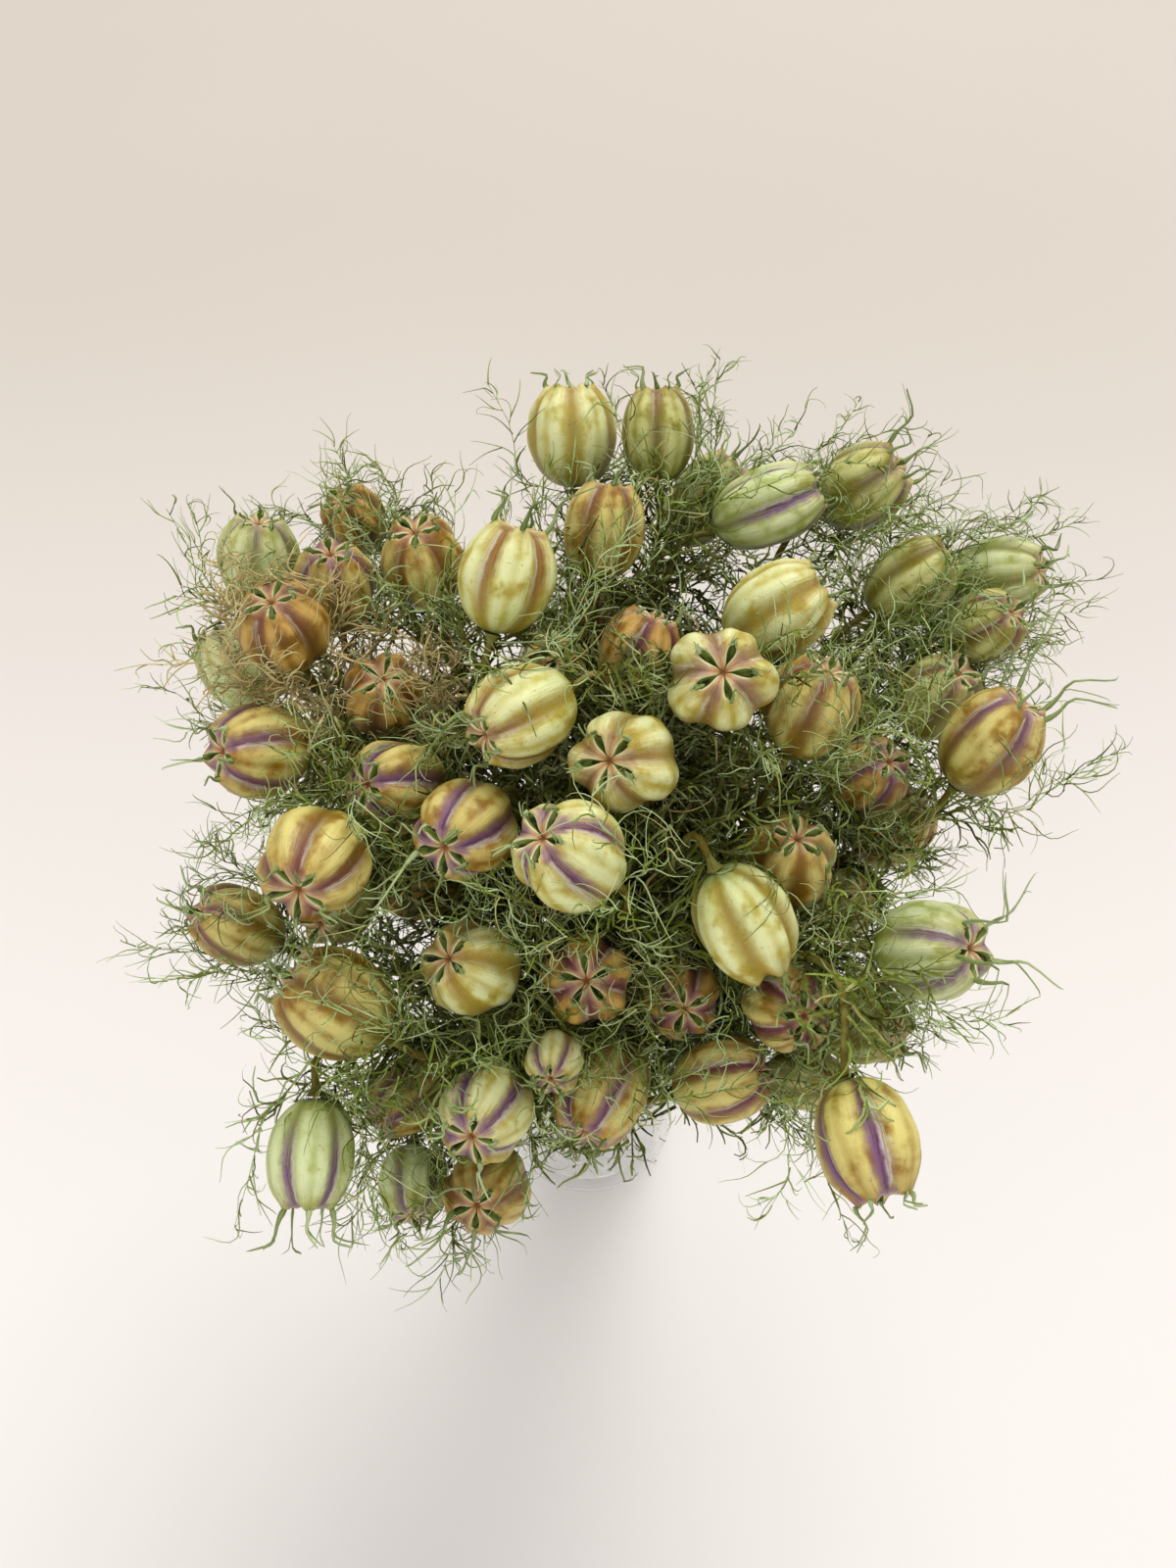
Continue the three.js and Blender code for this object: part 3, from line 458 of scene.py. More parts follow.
def bract_course(pod, bract, attempt, foot, outward_from_face):
    """A thread bract springs from the collar under the pod and arches around the pod."""
    def pick(number):
        return draw(pod.number, 20 + bract, attempt * 9 + number)

    turn = between(-0.6, 0.6, pick(0)) + (0.45 if bract % 2 else -0.45)
    outward = turned(outward_from_face, pod.axis, turn)
    sideways = np.cross(outward, pod.axis)
    twist = between(-0.5, 0.5, pick(1))
    flare = between(1.25, 1.7, pick(2))
    height = between(0.7, 1.5, pick(3))
    half_wide, half_long = pod.wide / 2, pod.long / 2

    def spot(out, up, swing):
        return (pod.middle + outward * (out * half_wide) + sideways * (swing * twist * half_wide)
                + pod.axis * (up * half_long))

    return np.array([
        foot,
        spot(flare * 0.85, -0.78, 0.3),
        spot(flare, height * 0.15, 0.8),
        spot(flare * between(0.95, 1.6, pick(4)), height, 1.4),
    ])


def grow_horns(pod, placed):
    """The courses of one head's horns, by lobe. Each stands on the solid's facet at the top of its lobe."""
    horns = {}
    for lobe in range(LOBES):
        azimuth = 2 * math.pi * lobe / LOBES
        root = (0.5 * pod.spot(azimuth, 0.54, 0.86) + 0.2 * pod.spot(0, 0, 0.78)
                + 0.3 * pod.spot(azimuth + math.pi / LOBES, 0.38, 0.86))
        for attempt in range(HORN_TRIES):
            course = horn_course(pod, lobe, attempt, root)
            if placed.is_clear(course, HORN_RADIUS, HORN_GAP, pod.number, skip_own_pod=True):
                placed.add(course, HORN_RADIUS, pod.number, "horn")
                horns[lobe] = course
                break
    return horns


def grow_bracts(pod, stem, placed):
    """The courses of one head's thread bracts, and of the barbs that the solid has on them."""
    courses = []
    for bract, face in zip(range(pod.head.bracts), collar_faces(pod, stem)):
        foot = face.mean(axis=0)
        outward = np.cross(face[1] - face[0], face[2] - face[0])
        outward = unit(outward - pod.axis * dot(outward, pod.axis))
        for attempt in range(THREAD_TRIES):
            course = bract_course(pod, bract, attempt, foot, outward)
            if placed.is_clear(course, THREAD_RADIUS, THREAD_GAP, pod.number):
                placed.add(course, THREAD_RADIUS, pod.number, "thread")
                courses.append(course)
                along = unit(course[2] - foot)
                ring = ring_around(course[1], along, face[0] - foot, THREAD_RADIUS, 3)
                courses.extend(grow_barbs(pod, bract, course, ring, placed))
                break
    return courses


def grow_barbs(pod, bract, course, ring, placed):
    """Two short side threads on a bract, for as far as there is room for them."""
    barbs = []
    for barb in range(2):
        for attempt in range(BARB_TRIES):
            def pick(number):
                return draw(pod.number, 40 + 5 * bract + barb, attempt * 5 + number)

            along = unit(course[2] - course[1])
            heel = (ring[barb] + ring[(barb + 1) % 3]) / 2
            outward = unit(heel - course[1])
            length = between(7, 14, pick(0))
            tip = (heel + along * (length * between(0.4, 0.8, pick(1)))
                   + outward * (length * between(0.5, 0.9, pick(2))))
            if placed.is_clear(np.array([heel, tip]), THREAD_RADIUS, THREAD_GAP, pod.number):
                placed.add(np.array([heel, tip]), THREAD_RADIUS, pod.number, "thread")
                barbs.append(np.array([heel, tip]))
                break
    return barbs


# Fine shapes. Rings and courses are arrays of points in mm. The capsule's outline is in shares of its half
# width and half length: where its flat crown starts, and from where to where a slit widens and closes again.
CAPSULE_COLUMNS = 60
CROWN_EDGE = 0.6
SLIT_WIDENS = (0.03, 0.42)
SLIT_CLOSES = (0.6, 0.47)
ANY_PHASE = 6.28  # about a full turn

# Steps along each kind of strand, and its sides. A blade of two sides is flat. Side threads stand anywhere on
# a midrib in fine steps, and leaves on a stem in as many places.
LACE_STEPS, LACE_SIDES = 8, 3
LEAF_STEPS, LEAF_SIDES = 6, 2
HORN_STEPS, HORN_SIDES = 11, 5
STEM_STEPS, STEM_SIDES = 30, 5
FINE_STEPS = 24
STEM_PLACES = 60

# A horn is flatter than it is wide, narrows towards its tip, and splits from here on.
HORN_FLAT = 0.45
HORN_TAPER = np.array([0.7, 0.85, 0.65, 0.48, 0.4, 0.35, 0.31, 0.27, 0.22, 0.15, 0.05])
HORN_SPLIT = 0.42

# Lace and leaves in mm: where they start under the capsule, how far down the stem and how high over the vase
# leaves stand, how close a thread comes to a capsule, and how far it may pass the solids' box.
LACE_DROP = 2.5
LEAF_DROP = 4.0
LEAF_REACH = 85.0
LEAF_OVER_VASE = 10
SKIN_ROOM = 0.4
BOX_ROOM = 8.0

# The bracts that a straw-dry head has more, how strongly green and straw threads curl, and the draws' seed.
NEST_BRACTS = 5
FRESH_CURL, STRAW_CURL = 1.4, 0.8
SEED = 1000

# The finishes of a head, in the order in which its mesh holds them. Its corners carry three marks of their
# place and three of their look, which the finishes are drawn by.
CAPSULE, HORN, THREAD, STEM = range(4)
NO_MARK = (0.0, 0.0, 0.0)


def smoothed(points, count):
    """A soft curve through the points, with a steady number of steps."""
    padded = np.concatenate([[2 * points[0] - points[1]], points, [2 * points[-1] - points[-2]]])
    place = np.linspace(0, len(points) - 1, count)
    index = np.minimum(place.astype(int), len(points) - 2)
    share = (place - index)[:, None]
    before, start, end, after = (padded[index + step] for step in range(4))
    return 0.5 * (2 * start + (end - before) * share
                  + (2 * before - 5 * start + 4 * end - after) * share ** 2
                  + (3 * start - before - 3 * end + after) * share ** 3)


class Skin:
    """Gathers the places, faces, finishes and marks of one piece."""

    def __init__(self):
        self.spots, self.faces, self.finishes, self.marks, self.looks = [], [], [], [], []
        self.count = 0

    def add_grid(self, rings, finish, marks=NO_MARK, looks=NO_MARK):
        """Adds many grids of rows by columns: tubes closed around their columns, or blades of two columns."""
        many, rows, columns = rings.shape[:3]
        row = np.arange(rows - 1)[:, None]
        column = np.arange(columns if columns > 2 else 1)[None, :]
        after = (column + 1) % columns
        corners = np.stack([
            row * columns + column, row * columns + after,
            (row + 1) * columns + after, (row + 1) * columns + column,
        ], axis=-1).reshape(-1, 4)
        first = self.count + np.arange(many)[:, None, None] * (rows * columns)
        self.faces.append((corners[None] + first).reshape(-1, 4))
        self.spots.append(rings.reshape(-1, 3))
        self.finishes.append(np.full(many * len(corners), finish))
        self.marks.append(np.broadcast_to(marks, rings.shape).reshape(-1, 3))
        self.looks.append(np.broadcast_to(looks, rings.shape).reshape(-1, 3))
        self.count += many * rows * columns

    def to_object(self, name, materials):
        """Makes one mesh object in metres of all that was added."""
        spots = np.concatenate(self.spots) * MM
        faces = np.concatenate(self.faces)
        mesh = bpy.data.meshes.new(name)
        mesh.vertices.add(len(spots))
        mesh.vertices.foreach_set("co", spots.astype(np.float32).ravel())
        mesh.loops.add(faces.size)
        mesh.loops.foreach_set("vertex_index", faces.astype(np.int32).ravel())
        mesh.polygons.add(len(faces))
        mesh.polygons.foreach_set("loop_start", np.arange(0, faces.size, 4, dtype=np.int32))
        mesh.polygons.foreach_set("material_index", np.concatenate(self.finishes).astype(np.int32))
        for label, rows in (("place", self.marks), ("look", self.looks)):
            layer = mesh.attributes.new(label, "FLOAT_VECTOR", "POINT")
            layer.data.foreach_set("vector", np.concatenate(rows).astype(np.float32).ravel())
        mesh.update(calc_edges=True)
        mesh.shade_smooth()
        for material in materials:
            mesh.materials.append(material)
        piece = bpy.data.objects.new(name, mesh)
        bpy.context.scene.collection.objects.link(piece)
        return piece


def tubes(courses, radii, sides, flat=1.0):
    """Rods around courses (many, steps, 3), as rings (many, steps, sides, 3)."""
    along = unit(np.gradient(courses, axis=1))
    helper = np.eye(3)[np.argmin(np.abs(along.mean(axis=1)), axis=1)][:, None, :]
    side = unit(np.cross(along, helper))
    other = np.cross(along, side) * flat
    angles = 2 * math.pi * np.arange(sides) / sides
    around = (np.cos(angles)[:, None] * side[:, :, None, :]
              + np.sin(angles)[:, None] * other[:, :, None, :])
    return courses[:, :, None, :] + radii[..., None, None] * around


def strand_marks(courses, shades, dryness):
    """Marks for rods: the share along the rod, then the shade and the dryness of each. The shade is a random
    tone, and on leaves also painted shade.
    """
    many, steps = courses.shape[:2]
    marks = np.zeros((many, steps, 1, 3))
    marks[..., 0] = np.linspace(0, 1, steps)[None, :, None]
    marks[..., 1] = shades[:, None, None]
    marks[..., 2] = dryness[:, None, None]
    return marks


def hill(value, middle, width):
    """1 at the middle, and softly down to 0 on both sides of it."""
    return np.exp(-((value - middle) / width) ** 2)


def capsule_profile():
    """The rows from stem to star: shares of the half width and half length, whether on the crown, and rise.

    The rise is the share of the half length up to the crown's edge, and runs from 1 to 2 over the crown.
    """
    body = np.concatenate([np.linspace(0.03, 0.5, 12, endpoint=False),
                           np.linspace(0.5, 0.795, 8, endpoint=False)]) * math.pi
    crown = np.linspace(CROWN_EDGE, 0.003, 17)
    share = np.concatenate([np.sin(body) ** 0.92, crown])[:, None]
    inward = (CROWN_EDGE - share) / CROWN_EDGE
    top = np.arange(len(share))[:, None] >= len(body)
    height = np.concatenate([-np.cos(body), np.zeros(len(crown))])[:, None]
    height = np.where(top, 0.82 + 0.22 * inward - 0.3 * inward ** 2, height)
    return share, height, top, np.where(top, 1 + inward, height)


def capsule_rings(pod, random):
    """Five puffed lobes, a striped groove between each two, a crease down each, and the open star on top."""
    share, height, top, rise = capsule_profile()
    azimuth = 2 * math.pi * np.arange(CAPSULE_COLUMNS)[None, :] / CAPSULE_COLUMNS
    sector = azimuth * LOBES / (2 * math.pi)
    across = 2 * np.abs(sector - np.round(sector))
    side = np.sin(azimuth * LOBES)
    lobe = np.round(sector).astype(int) % LOBES

    swell = 1 + random.uniform(-0.06, 0.06, LOBES)[lobe] * (1 - across ** 2)
    groove = random.uniform(0.9, 1.5) * (0.08 + 0.05 * smooth_step(height, -0.9, 0)
                                         + 0.06 * smooth_step(height, 0.2, 0.9))
    crease_deep = random.uniform(0.0, 1.0, LOBES)[lobe] * random.uniform(0.5, 1.6)
    crease = crease_deep * 0.06 * smooth_step(height, -0.5, 0.5) * (1 - smooth_step(height, 0.76, 0.9))
    shoulder = 0.03 * hill(height, 0.5, 0.3) * hill(across, 0.4, 0.25)
    wide = (1 - groove * hill(across, 1, 0.42) + 0.02 * hill(across, 1, 0.12)
            - crease * hill(across, 0, 0.17) + shoulder)
    phase = random.uniform(0, ANY_PHASE, 4)
    lumps = (np.sin(2 * azimuth + 3 * height + phase[0]) * np.sin(3 * height + phase[1])
             + 0.7 * np.sin(6 * azimuth - 4 * height + phase[2]) * np.sin(7 * height + phase[3]))
    wide = wide * swell * (1 + 0.018 * lumps)

    slit_wide = random.uniform(0.06, 0.105)
    aside = share * np.sin(across * math.pi / LOBES)
    lens = slit_wide * smooth_step(share, *SLIT_WIDENS) * smooth_step(share, *SLIT_CLOSES) * top
    opened = smooth_step(lens - aside, -0.02, 0.06) * (lens > 0)
    rim = hill(aside, lens, 0.03) * (lens > 0.01)
    peak = hill(share, 0.52, 0.1) * hill(across, 0, 0.42) * (height > 0)
    sag = hill(share, 0.5, 0.16) * across ** 2 * (height > 0)
    up = height + 0.1 * peak - 0.05 * sag - 0.2 * opened + 0.02 * rim
    out = share * np.where(top, 1 - (1 - wide) * smooth_step(share, 0, CROWN_EDGE), wide)

    half_wide, half_long = pod.wide / 2, pod.long / 2
    rings = (pod.middle + pod.right * (out * np.cos(azimuth) * half_wide)[..., None]
             + pod.front * (out * np.sin(azimuth) * half_wide)[..., None]
             + pod.axis * (up * half_long)[..., None])
    marks = np.stack(np.broadcast_arrays(across, side, rise), axis=-1)
    return rings[None], marks[None], (pod.head.seam, pod.head.hue, slit_wide)


def horn_rods(pod, horns, random):
    """Each horn is a flat green prong that splits into two thin curled ends."""
    courses, radii = [], []
    for lobe in range(LOBES):
        azimuth = 2 * math.pi * lobe / LOBES
        outward = unit(pod.right * math.cos(azimuth) + pod.front * math.sin(azimuth))
        root = pod.spot(azimuth, 0.56, 0.88)
        if lobe in horns:
            _, middle, tip = horns[lobe]
        else:
            middle = root + pod.axis * 2.5 + outward * 1.0
            tip = middle + outward * 2.0 + pod.axis
        length = np.linalg.norm(tip - root)
        heading = unit(tip - middle)
        swerve = unit(np.cross(heading, pod.axis) + random.normal(0, 0.3, 3))
        curl = tip + heading * (0.12 * length) + swerve * (random.uniform(-0.12, 0.12) * length)
        heel = root + (middle - root) * 0.4 + outward * 0.4
        main = smoothed(np.array([root, heel, middle, tip, curl]), HORN_STEPS)
        leaving = np.clip(np.linspace(0, 1, HORN_STEPS)[:, None] - HORN_SPLIT, 0, 1)
        split = main + (swerve * leaving * (length * random.uniform(0.5, 0.9)) - outward * leaving ** 2 * 1.5)
        split = main[0] + (split - main[0]) * random.uniform(0.75, 0.95)
        courses.extend([main, split])
        radii.extend([HORN_TAPER, HORN_TAPER * 0.8])
    return np.array(courses), np.array(radii)


def feather(rachis, reach, pairs, steps, random, curl):
    """A thread bract: a fine midrib with curly side threads, most of them forked."""
    place = np.linspace(0.12, 0.97, 2 * pairs) + random.uniform(-0.03, 0.03, 2 * pairs)
    fine = smoothed(rachis, FINE_STEPS + 1)
    index = np.clip(place * FINE_STEPS, 0, FINE_STEPS - 0.1)
    low = index.astype(int)
    start = fine[low] + (fine[low + 1] - fine[low]) * (index - low)[:, None]
    along = unit(fine[low + 1] - fine[low])
    helper = unit(np.cross(along, random.normal(0, 1, 3)))
    sign = np.where(np.arange(2 * pairs) % 2, 1.0, -1.0)[:, None]
    side = unit(helper * sign + random.normal(0, 0.5, (2 * pairs, 3)))
    length = reach * (1 - 0.3 * place) * random.uniform(0.6, 1.35, 2 * pairs)
    heading = unit(along * random.uniform(0.7, 2.0, (2 * pairs, 1)) + side)
    first = sprigs(start, heading, length, steps, random, curl)
    forked = random.random(2 * pairs) < 0.8
    knot = random.integers(1, steps // 2, forked.sum())
    branch = first[forked, knot]
    heading = unit(first[forked, knot + 1] - branch)
    bend = unit(np.cross(heading, random.normal(0, 1, (forked.sum(), 3))))
    second = sprigs(branch, unit(heading + bend * random.uniform(0.3, 0.7, (forked.sum(), 1))),
                    length[forked] * random.uniform(0.6, 0.95, forked.sum()), steps, random, curl)
    rib = smoothed(rachis, steps)[None]
    return np.concatenate([rib, first, second])


def sprigs(start, heading, length, steps, random, curl):
    """Single threads from their starts, each turning steadily on its own way, so that it curls."""
    many = len(start)
    share = np.linspace(0, 1, steps - 1)[None, :]
    bend = unit(np.cross(heading, random.normal(0, 1, (many, 3))))
    ripple = np.cross(heading, bend)
    turn = (random.uniform(0.3, 1.5, (many, 1)) ** 2 * curl * share
            + random.uniform(0, 0.5, (many, 1)) * np.sin(share * 6 + random.uniform(0, ANY_PHASE, (many, 1))))
    roll = random.uniform(-0.9, 0.9, (many, 1)) * share
    step = (np.cos(turn)[..., None] * heading[:, None] + np.sin(turn)[..., None] * bend[:, None]
            + roll[..., None] * ripple[:, None])
    walked = np.cumsum(unit(step), axis=1) * (length / (steps - 1))[:, None, None]
    return np.concatenate([start[:, None], start[:, None] + walked], axis=1)


def pushed_out(courses, pods):
    """Threads that would run through a capsule are laid over its skin."""
    points = courses.reshape(-1, 3)
    for pod in pods:
        start, end = pod.rod()
        reach = pod.wide / 2 + SKIN_ROOM
        near = np.nonzero(np.linalg.norm(points - pod.middle, axis=1) < pod.long / 2 + SKIN_ROOM + 1)[0]
        if len(near) == 0:
            continue
        spots = points[near]
        share = np.clip(dot(spots - start, end - start) / max(dot(end - start, end - start), 1e-9), 0, 1)
        core = start + (end - start) * share[:, None]
        gap = spots - core
        far = np.linalg.norm(gap, axis=1, keepdims=True)
        points[near] = np.where(far < reach, core + gap / np.maximum(far, 1e-6) * reach, spots)
    return points.reshape(courses.shape)


def lace(pod, bracts, reach, random):
    """The thread bracts around one capsule: the solid's own ones first, then as many as the head shows.

    The more bracts a head has, the further they close over it as a veil. A dry head has a nest of them.
    """
    ribs = [course for course in bracts if len(course) == 4]
    foot = pod.below(LACE_DROP)
    half_wide, half_long = pod.wide / 2, pod.long / 2
    veil = max(0, (pod.head.lace - 5) / 3)
    nest = NEST_BRACTS if pod.head.straw > 0.5 else 0
    while len(ribs) < pod.head.lace + nest:
        azimuth = random.uniform(0, 2 * math.pi)
        outward = pod.right * math.cos(azimuth) + pod.front * math.sin(azimuth)
        aside = np.cross(outward, pod.axis) * random.uniform(-0.6, 0.6)
        flare = random.uniform(1.2, 1.6)
        height = random.uniform(0.3, 1.3) + 0.4 * veil
        closing = flare * random.uniform(0.9, 1.4) * (1 - 0.7 * veil)
        turns = ((flare * 0.85, 0.3, -0.78), (flare, 0.8, height * 0.15), (closing, 1.4, height))
        ribs.append(np.array([foot] + [
            pod.middle + (outward * out + aside * swing) * half_wide + pod.axis * (up * half_long)
            for out, swing, up in turns]))
    pairs = 7 + round(3 * veil)
    curl = between(FRESH_CURL, STRAW_CURL, pod.head.straw)
    rods = [feather(rib, reach * random.uniform(0.8, 1.2), pairs, LACE_STEPS, random, curl) for rib in ribs]
    rods.extend(smoothed(barb, LACE_STEPS)[None] for barb in bracts if len(barb) == 2)
    return np.concatenate(rods)


def stem_leaves(pod, stem, reach, random):
    """The feathery leaves along the top of one stem, and how deep in the bunch each thread is, up to 1."""
    rods, depths = [np.zeros((0, LEAF_STEPS, 3))], [np.zeros(0)]
    fine = smoothed(stem, STEM_PLACES)
    drop = LEAF_DROP
    while drop < LEAF_REACH:
        index = np.argmin(np.abs(np.linalg.norm(fine - pod.below(0), axis=1) - drop))
        start = fine[index]
        depth = drop / LEAF_REACH
        drop += random.uniform(2.3, 4.2)
        if start[2] < STEM_LEVELS[2] + LEAF_OVER_VASE:
            break
        along = unit(fine[min(index + 1, len(fine) - 1)] - fine[index - 1])
        outward = unit(np.cross(along, random.normal(0, 1, 3)))
        length = random.uniform(14, 24)
        rib = np.array([
            start, start + (along * 0.35 + outward * 0.4) * length,
            start + (along * 0.6 + outward * 0.85) * length,
        ])
        rods.append(feather(rib, reach, 5, LEAF_STEPS, random, FRESH_CURL))
        depths.append(np.full(len(rods[-1]), depth))
    return np.concatenate(rods), np.concatenate(depths)


def eased(course, rounds):
    """The course with its sharp turns rounded off; its ends stay."""
    course = course.copy()
    for _ in range(rounds):
        course[1:-1] = 0.5 * course[1:-1] + 0.25 * (course[:-2] + course[2:])
    return course


def inside_box(courses):
    """The courses, held within the solids' box and a little room around it."""
    low, high = np.array(cad_box) / MM
    return np.clip(courses, low - BOX_ROOM, high + BOX_ROOM)


# Finishes.
def linear(code):
    """An sRGB hex colour as linear red, green and blue."""
    values = [int(code[place:place + 2], 16) / 255 for place in (1, 3, 5)]
    return tuple(value / 12.92 if value <= 0.04045 else ((value + 0.055) / 1.055) ** 2.4
                 for value in values)


def rgba(colour):
    """A linear colour with full cover."""
    return (*colour, 1.0)


def solid(code):
    """An sRGB hex colour as a linear one with full cover."""
    return rgba(linear(code))


def add_node(tree, kind, inputs=None, **settings):
    """Adds one node with its settings, and the values or links of its sockets."""
    node = tree.nodes.new(kind)
    for setting, value in settings.items():
        setattr(node, setting, value)
    for socket, value in (inputs or {}).items():
        if isinstance(value, bpy.types.NodeSocket):
            tree.links.new(value, node.inputs[socket])
        else:
            node.inputs[socket].default_value = value
    return node


def new_material(name):
    """An empty material, its node tree, and the object's own coordinates in metres."""
    material = bpy.data.materials.new(name)
    material.use_nodes = True
    tree = material.node_tree
    tree.nodes.clear()
    return material, tree, add_node(tree, "ShaderNodeTexCoord").outputs["Object"]


def per_metre(size):
    """The noise scale that makes patches of about size mm."""
    return 1 / MM / size


def opening(tree, gates, strength):
    """The strength, as far as every gate is open. A gate is a value, where it is shut, and where open."""
    share = strength
    for value, shut, opened in gates:
        gate = add_node(tree, "ShaderNodeMapRange",
                        {"Value": value, "From Min": shut, "From Max": opened},
                        interpolation_type="SMOOTHSTEP")
        share = add_node(tree, "ShaderNodeMath", {0: gate.outputs[0], 1: share},
                         operation="MULTIPLY").outputs[0]
    return share


def painted(tree, colour, *coats):
    """Paints coats over a colour in turn. A coat is its colour, its strength, and its gates."""
    for over, strength, *gates in coats:
        share = opening(tree, gates, strength)
        colour = add_node(tree, "ShaderNodeMix", {0: share, 6: colour, 7: over}, data_type="RGBA").outputs[2]
    return colour


def marks_of(tree, label):
    """The three marks that the mesh carries under a label."""
    mark = add_node(tree, "ShaderNodeAttribute", attribute_name=label).outputs["Vector"]
    return list(add_node(tree, "ShaderNodeSeparateXYZ", {0: mark}).outputs)


# What a capsule's finish is drawn from. across: from a lobe's middle at 0 to the seam at 1. side: where it is
# beside a seam, from flank to flank. rise: up to 1 at the crown's edge, and to 2 at the star's middle. line
# and band: across and side with a wandering edge. lasting: how far up a seam of this strength keeps its ink.
# slit: how far inside a slit, in half widths. upward: how far it faces up, which the wall's painted light and
# shade go by.
Fields = namedtuple("Fields", "across side rise seam hue cloud wander grain freckle streak veins upward line "
                              "band lasting slit")

# Patch sizes in mm and detail of the clouds. Grain stands for wall fibres of about 0.1 mm, and is drawn
# coarser than they are so that it shows.
CLOUDS = {"cloud": (6.0, 3.0), "wander": (2.2, 2.0), "grain": (0.45, 2.0), "freckle": (1.1, 1.0)}

# Streaks run up the seams and veins run across them: how the marks are stretched for each, and the scale.
# The veins are drawn about 1 mm apart, where the real ones are finer, so that they show.
STREAKS = {"streak": ((1.0, 9.0, 1.6), 1.6), "veins": ((2.0, 1.5, 42.0), 1.0)}


def capsule_fields(tree, where):
    """Works out every field of a capsule from the mesh's marks. Its own noise makes each head differ."""
    across, side, rise = marks_of(tree, "place")
    seam, hue, slit_wide = marks_of(tree, "look")
    found = {}
    for label, (size, detail) in CLOUDS.items():
        inputs = {"Vector": where, "Scale": per_metre(size), "Detail": detail}
        found[label] = add_node(tree, "ShaderNodeTexNoise", inputs).outputs["Fac"]

    place = add_node(tree, "ShaderNodeAttribute", attribute_name="place").outputs["Vector"]
    own = add_node(tree, "ShaderNodeMath", {0: hue, 1: 31.0, 2: seam}, operation="MULTIPLY_ADD").outputs[0]
    for label, (stretch, scale) in STREAKS.items():
        drawn = add_node(tree, "ShaderNodeVectorMath", {0: place, 1: stretch}, operation="MULTIPLY")
        inputs = {"Vector": drawn.outputs[0], "W": own, "Scale": scale, "Detail": 2.0}
        found[label] = add_node(tree, "ShaderNodeTexNoise", inputs, noise_dimensions="4D").outputs["Fac"]

    # The normal's upward part drives the wall's painted light and shade.
    facing = add_node(tree, "ShaderNodeNewGeometry").outputs["Normal"]
    upward = add_node(tree, "ShaderNodeSeparateXYZ", {0: facing}).outputs["Z"]
    sums = {}
    for label, value, factor, term in (
            ("shift", found["wander"], 0.16, -0.08), ("sway", found["wander"], 0.6, -0.3),
            ("lasting", seam, 2.0, rise), ("share", rise, -CROWN_EDGE, 2 * CROWN_EDGE)):
        sums[label] = add_node(tree, "ShaderNodeMath", {0: value, 1: factor, 2: term},
                               operation="MULTIPLY_ADD").outputs[0]
    line, band, ragged = (
        add_node(tree, "ShaderNodeMath", {0: value, 1: term}, operation="ADD").outputs[0]
        for value, term in ((across, sums["shift"]), (side, sums["sway"]), (sums["share"], sums["shift"])))

    lens = opening(tree, [(sums["share"], *SLIT_WIDENS), (ragged, *SLIT_CLOSES)], slit_wide)
    aside = across
    for operation, value in (("MULTIPLY", math.pi / LOBES), ("SINE", 0.0), ("MULTIPLY", sums["share"])):
        aside = add_node(tree, "ShaderNodeMath", {0: aside, 1: value}, operation=operation).outputs[0]
    slit = add_node(tree, "ShaderNodeMath", {0: lens, 1: aside}, operation="SUBTRACT").outputs[0]
    return Fields(across, side, rise, seam, hue, **found, upward=upward, line=line, band=band,
                  lasting=sums["lasting"], slit=slit)


def wall_colour(tree, at, pale, mid, deep):
    """The wall itself: random patches of paler and deeper tone, pale painted highlights on the ridges and on
    faces turned up, golden painted shade in the hollows, in the creases and on faces turned down, greener
    towards the stem, rusty at the crown.
    """
    return painted(
        tree, mid,
        (pale, 0.45, (at.cloud, 0.4, 0.65)),
        # Painted highlight: the lobes' raised shoulders are paler.
        (pale, 0.8, (at.line, 0.02, 0.25), (at.line, 0.7, 0.4), (at.cloud, 0.25, 0.55), (at.rise, 1.0, 0.5)),
        (solid("#98a850"), 0.35, (at.rise, 0.1, -0.9)),
        # Painted shade: a darker line down the crease in each lobe's middle.
        (deep, 0.3, (at.line, 0.12, -0.04), (at.rise, -0.5, 0.5), (at.streak, 0.3, 0.6)),
        # Painted shade: darker towards the seams' grooves, more so in some patches.
        (deep, 0.75, (at.line, 0.4, 1.0), (at.cloud, 0.1, 0.6)),
        (deep, 0.5, (at.cloud, 0.45, 0.25)),
        # Painted shade on faces turned down, then painted light on faces turned up, away from the seams.
        (deep, 0.6, (at.upward, 0.25, -0.6)),
        (pale, 0.4, (at.upward, 0.2, 0.95), (at.line, 0.95, 0.5), (at.cloud, 0.3, 0.6)),
        (solid("#9c6420"), 0.4, (at.rise, 0.2, 0.95), (at.streak, 0.35, 0.7)))


def seam_colour(tree, at, wall):
    """A seam's ink on the wall: a streaked band with darker flanks, brown, wine red or violet by its hue."""
    edge = painted(tree, solid("#855c28"),
                   (solid("#7d4656"), 1.0, (at.hue, 0.1, 0.6)),
                   (solid("#7c5684"), 1.0, (at.hue, 0.7, 1.0)))
    core = painted(tree, solid("#8a5620"),
                   (solid("#561a2c"), 1.0, (at.hue, 0.3, 0.65)),
                   (solid("#4c224e"), 1.0, (at.hue, 0.75, 1.0)))
    flank = painted(tree, edge,
                    (core, 1.0, (at.band, -0.6, -0.1), (at.band, 0.4, 0.0), (at.streak, 0.25, 0.6)))
    stripe = painted(tree, wall, (flank, 1.0, (at.streak, 0.2, 0.56)))
    return painted(tree, wall, (stripe, 1.0, (at.seam, 0.0, 0.85)))


